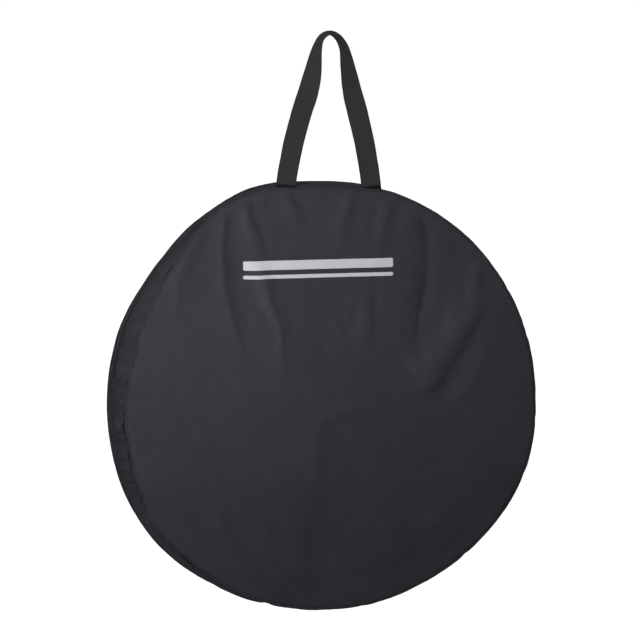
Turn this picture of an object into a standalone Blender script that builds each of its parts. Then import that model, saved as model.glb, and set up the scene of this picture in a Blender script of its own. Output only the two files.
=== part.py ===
"""Round padded bag for one bicycle wheel, hanging upright by its webbing handle.

X is to the right, Y goes from the front panel to the back panel, Z is up. The origin is the
underside of the handle at its top, where a hook carries the bag.
"""

import math

import bmesh
import bpy
from mathutils import Matrix, Vector

MM = 0.001
RING_STEPS = 96

# Shell
SEAM_RADIUS = 397 * MM
GUSSET_DEPTH = 110 * MM
WALL = 2 * MM
GAP = 0.3 * MM
PIPING_RADIUS = 2.5 * MM
PIPING_SINK = 1.5 * MM
PIPING_SIDES = 10
BINDING_WIDTH = 12 * MM
BINDING_THICKNESS = 1.6 * MM

# Handle
WEBBING_WIDTH = 38 * MM
WEBBING_THICKNESS = 2.4 * MM
HANDLE_RISE = 291 * MM
FOOT_SPACING = 160 * MM
HANDLE_HINGE_RISE = 4 * MM
TWIST_LENGTH = 158 * MM
TWIST_EASE_POWER = 1.15
HANDLE_STEPS_PER_SPAN = 4

# Zipper
FOLD_ANGLE = math.radians(80)
FOLD_GAP = 0.6 * MM
ZIP_DEPTH = 75 * MM
ZIP_SLOT_WIDTH = 16 * MM
ZIP_TAIL = 24 * MM
TAPE_OVERLAP = 6 * MM
TAPE_THICKNESS = 0.8 * MM
COIL_WIDTH = 2.8 * MM
COIL_RISE = 1.6 * MM
COIL_SPLIT = 1.4 * MM
END_TAB_WIDTH = 34 * MM
END_TAB_LENGTH = 22 * MM
END_TAB_THICKNESS = 1.4 * MM

# Slider and pull
SLIDER_LENGTH = 15 * MM
SLIDER_WIDTH = 13.4 * MM
SLIDER_PLATE = 1.4 * MM
SLIDER_SOLE = 1.2 * MM
SLIDER_TOP_CLEARANCE = 0.4 * MM
SLIDER_SOLE_CLEARANCE = 0.7 * MM
SLIDER_SIDE_CLEARANCE = 0.5 * MM
WEDGE_WIDTH = 0.7 * MM
WEDGE_LENGTH = 5 * MM
BRIDGE_LENGTH = 10.4 * MM
BRIDGE_WIDTH = 2.6 * MM
BRIDGE_THICKNESS = 1.2 * MM
PULL_LENGTH = 32 * MM
PULL_WIDTH = 8 * MM
PULL_THICKNESS = 1.4 * MM
PULL_BAR = 1.7 * MM
PULL_EYE_LENGTH = 6.6 * MM
PULL_EYE_WIDTH = 4.4 * MM
PULL_HOLE_RADIUS = 1.7 * MM
PULL_CLEARANCE = 0.5 * MM
OVERRUN = 5 * MM

# Shares of half the foot spacing and of the handle's height, from the top down one leg.
LEG_SHARES = (
    (0, 0), (0.16, 0.012), (0.27, 0.045), (0.325, 0.09), (0.375, 0.165), (0.425, 0.245),
    (0.475, 0.32), (0.54, 0.4), (0.615, 0.475), (0.69, 0.555), (0.765, 0.635), (0.83, 0.71),
    (0.885, 0.79), (0.945, 0.88), (1, 1),
)
# Corner shares of the webbing's half width and half thickness.
WEBBING_SHARES = (
    (-1, -0.4), (-0.97, -1), (0.97, -1), (1, -0.4), (1, 0.4), (0.97, 1), (-0.97, 1), (-1, 0.4),
)
# Shares of the slider's half length and half width, tail to nose.
SLIDER_SHARES = (
    (-1, 0.5), (-0.9, 0.72), (-0.5, 0.78), (-0.1, 0.88), (0.3, 1), (0.65, 0.98), (0.9, 0.78), (1, 0.45),
)
# Shares of the pull's length and half width, from its eye to its end.
PULL_SHARES = (
    (0, 0.8), (0.04, 1), (0.28, 1), (0.42, 0.72), (0.6, 0.68), (0.78, 0.86), (0.92, 0.9), (0.985, 0.62), (1, 0.3),
)
PULL_HOLE_SHARE = 0.84

HALF_FOOT = FOOT_SPACING / 2
CENTRE_Z = -HANDLE_RISE - math.sqrt(SEAM_RADIUS**2 - HALF_FOOT**2)
EDGE = WEBBING_THICKNESS / 2
PIPING_RING = SEAM_RADIUS - PIPING_SINK
PIPING_DEPTH = EDGE + GAP + PIPING_RADIUS
RIM = PIPING_DEPTH + PIPING_RADIUS
PANEL_RADIUS = PIPING_RING - PIPING_RADIUS - GAP
PANEL_BACK = PIPING_DEPTH - WALL / 2
FOLD_Z = CENTRE_Z + SEAM_RADIUS * math.cos(FOLD_ANGLE)
FLAP_AXIS_Y = GUSSET_DEPTH + RIM
HINGE_Z = CENTRE_Z + SEAM_RADIUS + HANDLE_HINGE_RISE
TAIL_Z = FOLD_Z - ZIP_TAIL

TAPE_OUT = SEAM_RADIUS - WALL - GAP
TAPE_IN = TAPE_OUT - TAPE_THICKNESS
COIL_TOP = TAPE_OUT + COIL_RISE
COIL_OUT = COIL_SPLIT / 2 + COIL_WIDTH
PLATE_IN = COIL_TOP + SLIDER_TOP_CLEARANCE
PLATE_OUT = PLATE_IN + SLIDER_PLATE
SOLE_OUT = TAPE_IN - SLIDER_SOLE_CLEARANCE
SOLE_IN = SOLE_OUT - SLIDER_SOLE
PULL_RADIUS = max(PLATE_OUT, SEAM_RADIUS + GAP + END_TAB_THICKNESS) + PULL_CLEARANCE + PULL_THICKNESS / 2
SLIDER_ANGLE = math.acos((TAIL_Z + (ZIP_TAIL - FOLD_GAP) / 2 - CENTRE_Z) / SEAM_RADIUS)

for old in list(bpy.data.objects):
    bpy.data.objects.remove(old, do_unlink=True)

bag = bpy.data.collections.new("bike_wheel_bag")
guides = bpy.data.collections.new("guides")
bpy.context.scene.collection.children.link(bag)
bpy.context.scene.collection.children.link(guides)


def material(name, colour, roughness, metallic=0.0):
    made = bpy.data.materials.new(name)
    made.use_nodes = True
    shader = made.node_tree.nodes["Principled BSDF"]
    shader.inputs["Base Color"].default_value = (*colour, 1)
    shader.inputs["Roughness"].default_value = roughness
    shader.inputs["Metallic"].default_value = metallic
    return made


PANEL_CLOTH = material("panel_cloth", (0.042, 0.044, 0.05), 0.62)
GUSSET_CLOTH = material("gusset_cloth", (0.03, 0.031, 0.036), 0.66)
PIPING_CLOTH = material("piping_cloth", (0.036, 0.037, 0.042), 0.6)
WEBBING = material("webbing", (0.036, 0.035, 0.035), 0.7)
ZIP_TAPE = material("zip_tape", (0.018, 0.018, 0.02), 0.75)
BINDING = material("seam_binding", (0.02, 0.02, 0.022), 0.8)
SLIDER_METAL = material("slider_metal", (0.09, 0.09, 0.095), 0.35, 1.0)


def empty(name, place, parent=None, turn=0.0):
    made = bpy.data.objects.new(name, None)
    made.location = place
    made.rotation_euler = (0, turn, 0)
    made.empty_display_size = HALF_FOOT
    made.parent = parent
    bag.objects.link(made)
    return made


handle_hinge = empty("handle_hinge", (0, 0, HINGE_Z))
flap_hinge = empty("flap_hinge", (0, FLAP_AXIS_Y, FOLD_Z))
slider_axis = empty("slider_axis", (0, ZIP_DEPTH, CENTRE_Z), turn=SLIDER_ANGLE)
pull_hinge = empty("pull_hinge", (0, 0, PULL_RADIUS), slider_axis)


def solid(name, bm, stuff, parent=None, offset=(0, 0, 0), crease=35):
    """Turns bmesh geometry into a named object. offset is the parent's place in the mesh's frame."""
    bmesh.ops.translate(bm, verts=bm.verts, vec=-Vector(offset))
    bmesh.ops.recalc_face_normals(bm, faces=bm.faces)
    mesh = bpy.data.meshes.new(name)
    bm.to_mesh(mesh)
    bm.free()
    mesh.shade_smooth()
    mesh.set_sharp_from_angle(angle=math.radians(crease))
    made = bpy.data.objects.new(name, mesh)
    mesh.materials.append(stuff)
    made.parent = parent
    bag.objects.link(made)
    return made


def guide(name, bm):
    made = solid(name, bm, SLIDER_METAL)
    bag.objects.unlink(made)
    guides.objects.link(made)
    made.hide_render = True
    made.display_type = "WIRE"
    return made


def boolean(target, operation, other):
    change = target.modifiers.new(other.name, "BOOLEAN")
    change.operation = operation
    change.object = other


def keep(bm, place, normal):
    """Keeps what lies on the normal's side of a plane, and closes the cut."""
    cut = bmesh.ops.bisect_plane(
        bm, geom=bm.verts[:] + bm.edges[:] + bm.faces[:], plane_co=place, plane_no=normal, clear_inner=True
    )
    rim = [e for e in cut["geom_cut"] if isinstance(e, bmesh.types.BMEdge)]
    bmesh.ops.edgeloop_fill(bm, edges=rim)
    return bm


def above(bm, level):
    return keep(bm, (0, 0, level), (0, 0, 1))


def below(bm, level):
    return keep(bm, (0, 0, level), (0, 0, -1))


def ring(section):
    """A section of (radius, depth) points turned once about the bag's axis."""
    bm = bmesh.new()
    points = [bm.verts.new((0, depth, CENTRE_Z + radius)) for radius, depth in section]
    edges = [bm.edges.new((a, b)) for a, b in zip(points, points[1:] + points[:1])]
    bmesh.ops.spin(
        bm, geom=points + edges, cent=(0, 0, CENTRE_Z), axis=(0, 1, 0), dvec=(0, 0, 0),
        angle=math.tau, steps=RING_STEPS, use_merge=True,
    )
    return bm


def strip(inner, outer, front, back):
    return ring([(inner, front), (outer, front), (outer, back), (inner, back)])


def piping(depth):
    turns = [math.tau * i / PIPING_SIDES for i in range(PIPING_SIDES)]
    return ring([
        (PIPING_RING + PIPING_RADIUS * math.cos(a), depth + PIPING_RADIUS * math.sin(a)) for a in turns
    ])


def disc(radius, middle, thickness):
    bm = bmesh.new()
    turn = Matrix.Translation((0, middle, CENTRE_Z)) @ Matrix.Rotation(math.pi / 2, 4, "X")
    bmesh.ops.create_cone(
        bm, cap_ends=True, segments=RING_STEPS, radius1=radius, radius2=radius, depth=thickness, matrix=turn
    )
    return bm


def box(low, high):
    bm = bmesh.new()
    size = Vector(high) - Vector(low)
    middle = (Vector(high) + Vector(low)) / 2
    bmesh.ops.create_cube(bm, size=1, matrix=Matrix.Translation(middle) @ Matrix.Diagonal(size).to_4x4())
    return bm


def prism(outline, place, along):
    """A flat outline pushed along a vector. place maps each outline point to space."""
    bm = bmesh.new()
    face = bm.faces.new([bm.verts.new(place(*point)) for point in outline])
    made = bmesh.ops.extrude_face_region(bm, geom=[face])
    bmesh.ops.translate(
        bm, verts=[v for v in made["geom"] if isinstance(v, bmesh.types.BMVert)], vec=along
    )
    return bm


def mirrored(shares, length, half_width, start=0.0):
    """A closed outline from the shares of one side and the same side mirrored."""
    side = [(start + a * length, b * half_width) for a, b in shares]
    return side + [(a, -b) for a, b in reversed(side)]


# Shell: the front is one panel, the back is split at the fold line, level with the zipper's ends.
fold = GUSSET_DEPTH - ZIP_DEPTH
back_piping_depth = GUSSET_DEPTH + PIPING_DEPTH
low_fold, high_fold = FOLD_Z - FOLD_GAP / 2, FOLD_Z + FOLD_GAP / 2
flap_place = (0, FLAP_AXIS_Y, FOLD_Z)
slot_front, slot_back = ZIP_DEPTH - ZIP_SLOT_WIDTH / 2, ZIP_DEPTH + ZIP_SLOT_WIDTH / 2
gusset_in = SEAM_RADIUS - WALL

solid("front_panel", disc(PANEL_RADIUS, -PIPING_DEPTH, WALL), PANEL_CLOTH)
solid("front_piping", piping(-PIPING_DEPTH), PIPING_CLOTH)
solid("back_panel_lower", below(disc(PANEL_RADIUS, back_piping_depth, WALL), low_fold), PANEL_CLOTH)
solid("back_piping_lower", below(piping(back_piping_depth), low_fold), PIPING_CLOTH)
solid(
    "back_flap_panel", above(disc(PANEL_RADIUS, back_piping_depth, WALL), high_fold),
    PANEL_CLOTH, flap_hinge, flap_place,
)
solid(
    "back_flap_piping", above(piping(back_piping_depth), high_fold), PIPING_CLOTH, flap_hinge, flap_place
)
solid(
    "back_flap_gusset",
    above(strip(gusset_in, SEAM_RADIUS, slot_back, GUSSET_DEPTH + EDGE), high_fold),
    GUSSET_CLOTH, flap_hinge, flap_place,
)
solid(
    "gusset_front_strip", above(strip(gusset_in, SEAM_RADIUS, -EDGE, slot_front), high_fold), GUSSET_CLOTH
)
gusset_lower = solid(
    "gusset_lower", below(strip(gusset_in, SEAM_RADIUS, -EDGE, GUSSET_DEPTH + EDGE), low_fold), GUSSET_CLOTH
)
reach = SEAM_RADIUS + OVERRUN
boolean(gusset_lower, "DIFFERENCE", guide(
    "zip_slot_cut", box((-reach, slot_front, TAIL_Z - GAP), (reach, slot_back, FOLD_Z + OVERRUN))
))

# Seam bindings cover the raw edges inside.
binding_out = PIPING_RING - PIPING_RADIUS - GAP
binding_in = binding_out - BINDING_WIDTH
binding_face = PANEL_BACK - GAP
front_binding = (-binding_face, BINDING_THICKNESS - binding_face)
back_binding = (GUSSET_DEPTH + binding_face - BINDING_THICKNESS, GUSSET_DEPTH + binding_face)
solid("front_seam_binding", strip(binding_in, binding_out, *front_binding), BINDING)
solid("back_seam_binding", below(strip(binding_in, binding_out, *back_binding), low_fold), BINDING)
solid(
    "flap_seam_binding", above(strip(binding_in, binding_out, *back_binding), high_fold),
    BINDING, flap_hinge, flap_place,
)


# Zipper: each half is a tape under the cloth's edge with its row of coil as a raised rim.
def zip_half(side):
    tape_edge = ZIP_SLOT_WIDTH / 2 + TAPE_OVERLAP
    corners = [
        (TAPE_IN, COIL_SPLIT / 2), (COIL_TOP, COIL_SPLIT / 2), (COIL_TOP, COIL_OUT),
        (TAPE_OUT, COIL_OUT), (TAPE_OUT, tape_edge), (TAPE_IN, tape_edge),
    ]
    return ring([(radius, ZIP_DEPTH + side * depth) for radius, depth in corners])


solid("zipper_half_front", above(zip_half(-1), TAIL_Z), ZIP_TAPE)
solid("zipper_half_flap", above(zip_half(1), high_fold), ZIP_TAPE, flap_hinge, flap_place)
for side, word in ((-1, "left"), (1, "right")):
    tail = keep(below(above(zip_half(1), TAIL_Z), low_fold), (0, 0, CENTRE_Z), (side, 0, 0))
    solid(f"zipper_tail_{word}", tail, ZIP_TAPE)
    tab_low, tab_high = SEAM_RADIUS + GAP, SEAM_RADIUS + GAP + END_TAB_THICKNESS
    patch = strip(tab_low, tab_high, ZIP_DEPTH - END_TAB_WIDTH / 2, ZIP_DEPTH + END_TAB_WIDTH / 2)
    patch = keep(below(patch, TAIL_Z - GAP), (0, 0, CENTRE_Z), (side, 0, 0))
    solid(f"zipper_end_tab_{word}", above(patch, TAIL_Z - GAP - END_TAB_LENGTH), PIPING_CLOTH)


# Slider: an outline pushed through its full height, opened by the coil's channel and the tape's
# slot, with the wedge and the bridge joined on. It is modelled at the top of the arc.
def slider_box(length, half_width, low, high):
    return box((length[0], -half_width, low), (length[1], half_width, high))


slider_half = SLIDER_LENGTH / 2
slider_outline = mirrored(SLIDER_SHARES, slider_half, SLIDER_WIDTH / 2)
slider = solid(
    "slider_body",
    prism(slider_outline, lambda x, y: (x, y, SOLE_IN), (0, 0, PLATE_OUT - SOLE_IN)),
    SLIDER_METAL, slider_axis,
)
channel = COIL_OUT + SLIDER_SIDE_CLEARANCE
ends = (-SLIDER_LENGTH, SLIDER_LENGTH)
flange_low = TAPE_OUT + SLIDER_TOP_CLEARANCE
wedge_nose = slider_half - WEDGE_WIDTH
bridge_half = BRIDGE_LENGTH / 2
bridge_low = PULL_RADIUS + PULL_THICKNESS / 2 + PULL_CLEARANCE
bridge_top = bridge_low + BRIDGE_THICKNESS
bridge_foot = PLATE_OUT - SLIDER_PLATE / 2
shoulder = BRIDGE_THICKNESS / 2
bridge_outline = [
    (-bridge_half, bridge_foot), (-bridge_half, bridge_top - shoulder), (shoulder - bridge_half, bridge_top),
    (bridge_half - shoulder, bridge_top), (bridge_half, bridge_top - shoulder), (bridge_half, bridge_foot),
    (bridge_half - BRIDGE_THICKNESS, bridge_foot), (bridge_half - BRIDGE_THICKNESS, bridge_low),
    (BRIDGE_THICKNESS - bridge_half, bridge_low), (BRIDGE_THICKNESS - bridge_half, bridge_foot),
]
slider_changes = (
    ("DIFFERENCE", "coil_channel_cut", slider_box(ends, channel, SOLE_OUT, PLATE_IN)),
    ("DIFFERENCE", "tape_slot_cut", slider_box(ends, SLIDER_WIDTH, SOLE_OUT, flange_low)),
    ("UNION", "wedge", slider_box(
        (wedge_nose - WEDGE_LENGTH, wedge_nose), WEDGE_WIDTH / 2,
        SOLE_OUT - SLIDER_SOLE / 2, PLATE_IN + SLIDER_PLATE / 2,
    )),
    ("UNION", "bridge", prism(
        bridge_outline, lambda x, z: (x, -BRIDGE_WIDTH / 2, z), (0, BRIDGE_WIDTH, 0)
    )),
)
for operation, name, bm in slider_changes:
    tool = guide(name, bm)
    tool.parent = slider_axis
    boolean(slider, operation, tool)

# Pull: its bar lies under the bridge, and the bridge passes through its eye.
pull_outline = mirrored(PULL_SHARES, PULL_LENGTH + PULL_BAR / 2, PULL_WIDTH / 2, -PULL_BAR / 2)
pull = solid(
    "pull_tab",
    prism(pull_outline, lambda x, y: (x, y, -PULL_THICKNESS / 2), (0, 0, PULL_THICKNESS)),
    SLIDER_METAL, pull_hinge,
)
eye = box(
    (PULL_BAR / 2, -PULL_EYE_WIDTH / 2, -OVERRUN), (PULL_BAR / 2 + PULL_EYE_LENGTH, PULL_EYE_WIDTH / 2, OVERRUN)
)
hole = bmesh.new()
bmesh.ops.create_cone(
    hole, cap_ends=True, segments=PIPING_SIDES * 2, radius1=PULL_HOLE_RADIUS, radius2=PULL_HOLE_RADIUS,
    depth=OVERRUN, matrix=Matrix.Translation((PULL_LENGTH * PULL_HOLE_SHARE, 0, 0)),
)
for name, bm in (("pull_eye_cut", eye), ("pull_hole_cut", hole)):
    tool = guide(name, bm)
    tool.parent = pull_hinge
    boolean(pull, "DIFFERENCE", tool)


# Handle: webbing that faces forward at its feet and turns a quarter, outer edges back, to lie
# flat over the hook.
def leg_point(span, t):
    """Catmull-Rom point on the right leg. The first span's neighbour is its own mirror image."""
    spread = [(-LEG_SHARES[1][0], LEG_SHARES[1][1]), *LEG_SHARES]
    spread.append(tuple(2 * a - b for a, b in zip(LEG_SHARES[-1], LEG_SHARES[-2])))
    p = [Vector(q) for q in spread[span:span + 4]]
    share = (
        2 * p[1] + (p[2] - p[0]) * t + (2 * p[0] - 5 * p[1] + 4 * p[2] - p[3]) * t**2
        + (3 * p[1] - p[0] - 3 * p[2] + p[3]) * t**3
    ) / 2
    return Vector((share.x * HALF_FOOT, 0, EDGE - share.y * (HANDLE_RISE + EDGE)))


def leg_route():
    """Points down the right leg, ending level with the handle's hinge."""
    spans = len(LEG_SHARES) - 1
    places = [
        leg_point(span, step / HANDLE_STEPS_PER_SPAN)
        for span in range(spans) for step in range(HANDLE_STEPS_PER_SPAN)
    ]
    places.append(leg_point(spans - 1, 1))
    upper = [p for p in places if p.z > HINGE_Z + EDGE]
    under = places[len(upper)]
    last = upper[-1].lerp(under, (upper[-1].z - HINGE_Z) / (upper[-1].z - under.z))
    return [*upper, last], places[-1]


route, foot = leg_route()
half_width = WEBBING_WIDTH / 2
bm = bmesh.new()
rings, run = [], 0.0
for i, place in enumerate(route):
    before, after = route[max(i - 1, 0)], route[min(i + 1, len(route) - 1)]
    tangent = (after - before).normalized() if i else Vector((1, 0, 0))
    run += (place - before).length
    twist = math.pi / 2 * max(0.0, 1 - run / TWIST_LENGTH) ** TWIST_EASE_POWER
    outward = Vector((-tangent.z, 0, tangent.x))
    across = outward * math.cos(twist) + Vector((0, math.sin(twist), 0))
    if i == len(route) - 1:
        across = Vector((1 / outward.x, 0, 0))
    face = tangent.cross(across).normalized()
    rings.append((place, across * half_width, face * EDGE))
end, across, face = rings[-1]
for turn in (math.radians(30), math.radians(60), math.radians(85)):
    rings.append((end - Vector((0, 0, EDGE * math.sin(turn))), across, face * math.cos(turn)))
loops = [
    [bm.verts.new(place + across * a + face * b) for a, b in WEBBING_SHARES] for place, across, face in rings
]
for upper, lower in zip(loops, loops[1:]):
    for a in range(len(upper)):
        b = (a + 1) % len(upper)
        bm.faces.new((upper[a], upper[b], lower[b], lower[a]))
bm.faces.new(loops[-1])
strap = solid("handle_strap", bm, WEBBING, handle_hinge, (0, 0, HINGE_Z))
fold_over = strap.modifiers.new("mirror", "MIRROR")
fold_over.merge_threshold = 0.1 * GAP

# Sewn roots: the webbing's ends stand up out of the front seam, cut to the rim's curve.
root_top = HINGE_Z - EDGE - GAP
lean = (route[-1].x - foot.x) / (route[-1].z - foot.z)
for side, word in ((-1, "left"), (1, "right")):
    outline = []
    for share in (1, 0.5, 0, -0.5, -1):
        x = HALF_FOOT + share * half_width
        outline.append((x, CENTRE_Z + math.sqrt((SEAM_RADIUS + GAP)**2 - x**2)))
    outline += [
        (HALF_FOOT + lean * (root_top - foot.z) + edge * half_width, root_top) for edge in (-1, 1)
    ]
    root = prism(outline, lambda x, z, s=side: (s * x, -EDGE, z), (0, WEBBING_THICKNESS, 0))
    solid(f"handle_root_{word}", root, WEBBING)
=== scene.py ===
import math

import bmesh
import bpy
import numpy as np
from mathutils import Matrix, Vector, kdtree


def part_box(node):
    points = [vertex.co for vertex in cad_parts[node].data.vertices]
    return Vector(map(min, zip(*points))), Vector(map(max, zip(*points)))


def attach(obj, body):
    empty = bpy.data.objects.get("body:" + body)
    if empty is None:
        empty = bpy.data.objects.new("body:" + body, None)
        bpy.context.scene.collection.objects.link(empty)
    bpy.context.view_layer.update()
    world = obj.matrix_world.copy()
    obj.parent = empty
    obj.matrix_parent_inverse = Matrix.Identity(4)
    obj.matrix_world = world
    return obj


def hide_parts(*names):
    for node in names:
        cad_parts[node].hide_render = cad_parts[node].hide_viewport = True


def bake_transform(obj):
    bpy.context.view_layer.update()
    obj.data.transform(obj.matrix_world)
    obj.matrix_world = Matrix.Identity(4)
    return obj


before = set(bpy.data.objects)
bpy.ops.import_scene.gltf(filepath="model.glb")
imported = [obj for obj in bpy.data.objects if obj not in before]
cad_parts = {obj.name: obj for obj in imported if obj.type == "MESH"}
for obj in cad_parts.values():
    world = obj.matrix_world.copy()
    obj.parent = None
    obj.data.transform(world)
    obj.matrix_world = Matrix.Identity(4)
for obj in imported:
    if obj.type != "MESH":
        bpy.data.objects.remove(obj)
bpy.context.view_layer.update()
mm = 0.001

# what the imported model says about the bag's main sizes
panelLow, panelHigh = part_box("front_panel")
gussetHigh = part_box("gusset_lower")[1]
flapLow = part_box("back_flap_gusset")[0]
bag = {
    "panelRadius": panelHigh.x,
    "frontY": panelLow.y,
    "backY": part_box("back_panel_lower")[1].y,
    "foldZ": flapLow.z,
    "slotFrontY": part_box("gusset_front_strip")[1].y,
    "slotBackY": flapLow.y,
    "wall": 2 * mm,
    "foldStart": 1 * mm,  # how far below the fold line the cloth starts to turn over
    "foldReach": 52 * mm,  # and how far above it the turn ends
    "crown": 9 * mm,  # how far the panels belly out in the middle
    "crownPower": 2.4,
}
centreZ = (panelLow.z + panelHigh.z) / 2
seamRadius = gussetHigh.x
backSeamY = gussetHigh.y - 1.2 * mm  # the front seam lies at zero
zipY = (bag["slotFrontY"] + bag["slotBackY"]) / 2
tailAngle = math.acos((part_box("zipper_half_front")[0].z - centreZ) / seamRadius)  # where the zipper ends
foldAngle = math.acos((bag["foldZ"] - centreZ) / seamRadius)
print("frame loaded: seam radius", round(seamRadius, 4), "zipper at", round(zipY, 4))


def smoothStep(low, high, value):
    t = np.clip((np.asarray(value, float) - low) / (high - low), 0, 1)
    return t * t * (3 - 2 * t)


def bell(value, width, power=2):
    # 1 at zero, falling away to both sides over a width
    return np.exp(-(value / width) ** power)


def roundTable(table, spread, step=0.5):
    # a table of (degrees clockwise from the top, mm) as a smooth function of the angle in radians
    degrees = np.arange(0, 360, step)
    places, values = zip(*sorted(table))
    values = np.interp(degrees, places, values, period=360)
    half = int(spread / step)
    kernel = np.hanning(2 * half + 3)
    wrapped = np.concatenate((values[-half - 1:], values, values[:half + 1]))
    values = np.convolve(wrapped, kernel / kernel.sum(), "valid")
    return lambda angle: mm * np.interp(np.degrees(angle) % 360, degrees, values, period=360)


def patch(u, v, cell, seed, size=(251, 257)):
    # smooth random height, -1 to 1, over a field of cells in metres
    table = np.random.default_rng(seed).uniform(-1, 1, size)
    a, b = np.asarray(u, float) / cell[0], np.asarray(v, float) / cell[1]
    i, j = np.floor(a).astype(int), np.floor(b).astype(int)
    f, g = (t * t * t * (t * (t * 6 - 15) + 10) for t in (a - i, b - j))

    def at(p, q):
        return table[p % size[0], q % size[1]]

    low = at(i, j) * (1 - f) + at(i + 1, j) * f
    high = at(i, j + 1) * (1 - f) + at(i + 1, j + 1) * f
    return low * (1 - g) + high * g


def ringRipple(angle, count, seed):
    # smooth random height, -1 to 1, with so many bumps round the ring
    values = np.random.default_rng(seed).uniform(-1, 1, count)
    a = (np.asarray(angle, float) / math.tau % 1) * count
    i = np.floor(a).astype(int)
    f = a - i
    f = f * f * (3 - 2 * f)
    return values[i % count] * (1 - f) + values[(i + 1) % count] * f


def curveThrough(points, steps):
    # Catmull-Rom points through the given ones
    p = np.array(points, float)
    p = np.vstack((2 * p[0] - p[1], p, 2 * p[-1] - p[-2]))
    made = []
    for a, b, c, d in zip(p, p[1:], p[2:], p[3:]):
        bend, twist = 2 * a - 5 * b + 4 * c - d, 3 * b - a - 3 * c + d
        made.extend((2 * b + (c - a) * t + bend * t**2 + twist * t**3) / 2 for t in np.arange(steps) / steps)
    return np.array([*made, p[-2]])


def angleSteps(*stops, step=0.62):
    # angles from stop to stop, about so many degrees apart
    made = [stops[0]]
    for a, b in zip(stops, stops[1:]):
        count = max(1, round(abs(b - a) / math.radians(step)))
        made.extend(np.linspace(a, b, count + 1)[1:])
    return np.array(made)


def fromTop(angle):
    # how far round from the top, either way
    return math.pi - np.abs((np.asarray(angle) % math.tau) - math.pi)


def toBottom(angle, span):
    # 0 round the top and 1 round the bottom, changing between two distances from the top in degrees
    return smoothStep(*np.radians(span), fromTop(angle))


def between(angle, rise, fall):
    # 1 between two soft limits, each a pair of degrees clockwise from the top
    clockwise = np.asarray(angle) % math.tau
    return smoothStep(*np.radians(rise), clockwise) * (1 - smoothStep(*np.radians(fall), clockwise))


def turnFrom(angle, degrees):
    # the shorter way round from a place given in degrees
    return (np.asarray(angle) - math.radians(degrees) + math.pi) % math.tau - math.pi


outline = {
    # how far each seam strays from the true round, mm at degrees clockwise from the top
    "front": (
        (0, -2.5), (5, -2.8), (10, -1), (14, 2.5), (18, 4), (25, 2), (39, 0.5), (60, -0.5), (81, 1.3),
        (91, 3.8), (101, 9.5), (111, 13), (121, 10.5), (131, 6.4), (141, 2.8), (151, 0.8), (161, -0.5),
        (182, -2), (203, -1.5), (215, -2.3), (225, -1.5), (232, 1.5), (238, 3.5), (245, -3), (250, -6),
        (258, -8.5), (268, -9), (276, -12), (281, -15), (285, -15.5), (290, -13), (298, -13), (302, -11),
        (306, -9), (312, -5), (320, 5.5), (324, 11), (331, 17.5), (338, 16.5), (344, 13), (349, 5.5),
        (353, 0), (357, -2.5),
    ),
    "back": (
        (0, 0), (6, 0.7), (12, 4), (20, 5), (40, 1), (60, 0), (75, 0), (90, 3), (110, 7), (130, 6),
        (150, 5), (170, 8), (185, 8.2), (198, 11), (209, 12.8), (219, 14), (230, 14), (240, 11),
        (251, 6.5), (261, 2), (271, 0), (281, -1.5), (291, -2), (301, -6.5), (311, -7), (321, -0.5),
        (331, 3), (341, 9), (350, 6), (355, 2),
    ),
    "spread": 3.5,  # degrees over which both tables are smoothed
    "gather": 0.8 * mm,  # how far the stitches draw the front seam to and fro
    "gatherRest": 0.35,  # the share of that on the right
    "gatherRise": (222, 242), "gatherFall": (322, 342),  # the left, where all of it shows
    "creaseDraw": 0.45 * mm,  # how far a crease draws the seam in, for each mm of its depth
    "zipEnds": (94, 124),  # degrees from the top where the zipper's true round gives way
    "zipFront": 0.45,  # below those the zipper's line follows the front seam by this share
    "ease": 1.4,  # how quickly each seam's outline dies out toward the zipper
}
gussetCreases = (
    # degrees, depth mm, half width in degrees, how far back it runs as a share of the gusset
    (293, 2.2, 0.9, 0.5), (289, -1.6, 0.8, 0.4), (285, 2.8, 0.8, 0.6), (279.5, -2.0, 1.0, 0.5),
    (275, 3.0, 0.9, 0.55), (269, 2.6, 0.8, 0.5), (264.5, -2.2, 1.1, 0.6), (259.5, 5.0, 0.9, 1.1),
    (254.5, 2.4, 0.7, 0.5), (251, 3.0, 0.8, 0.7), (245.5, 3.2, 0.8, 0.6), (239, 1.8, 1.0, 0.5),
    (230, 1.6, 0.9, 0.5), (300, 1.6, 1.2, 0.5), (309, -1.8, 1.4, 0.6), (318, 1.6, 1.2, 0.5),
    (272, 3.6, 0.6, 0.3), (266.8, 3.2, 0.5, 0.35), (262, 4.0, 0.6, 0.4), (257, 3.4, 0.5, 0.3),
    (252.6, -2.4, 0.6, 0.4), (248.4, 4.2, 0.6, 0.5), (242.5, 3.0, 0.6, 0.4), (235, 2.6, 0.7, 0.4),
    (226, 2.2, 0.7, 0.4), (281, 3.4, 0.5, 0.35), (287, 3.0, 0.6, 0.3), (295.5, 2.8, 0.6, 0.4),
    (304, 2.4, 0.7, 0.4), (60, 2.2, 1.0, 0.6), (74, 2.0, 0.9, 0.5), (97, 2.6, 1.0, 0.8),
    (112, 2.4, 1.1, 0.6), (139, 2.2, 1.1, 0.9), (171, 2.4, 1.2, 0.7), (196, 2.6, 1.1, 0.8),
    (212, 2.0, 1.0, 0.6),
)
frontRound = roundTable(outline["front"], outline["spread"])
backPush = roundTable(outline["back"], outline["spread"])


def gathers(angle):
    # where the front seam's stitches gather the cloth
    return ringRipple(angle, 150, 141) + 0.8 * ringRipple(angle, 64, 142)


def frontPush(angle):
    # what the outline adds to the front seam's radius
    rest = outline["gatherRest"]
    drawn = rest + (1 - rest) * between(angle, outline["gatherRise"], outline["gatherFall"])
    moved = frontRound(angle) + outline["gather"] * drawn * gathers(angle)
    for degrees, depth, half, _ in gussetCreases:
        moved = moved - outline["creaseDraw"] * depth * bell(turnFrom(angle, degrees), math.radians(half))
    return moved


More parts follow.
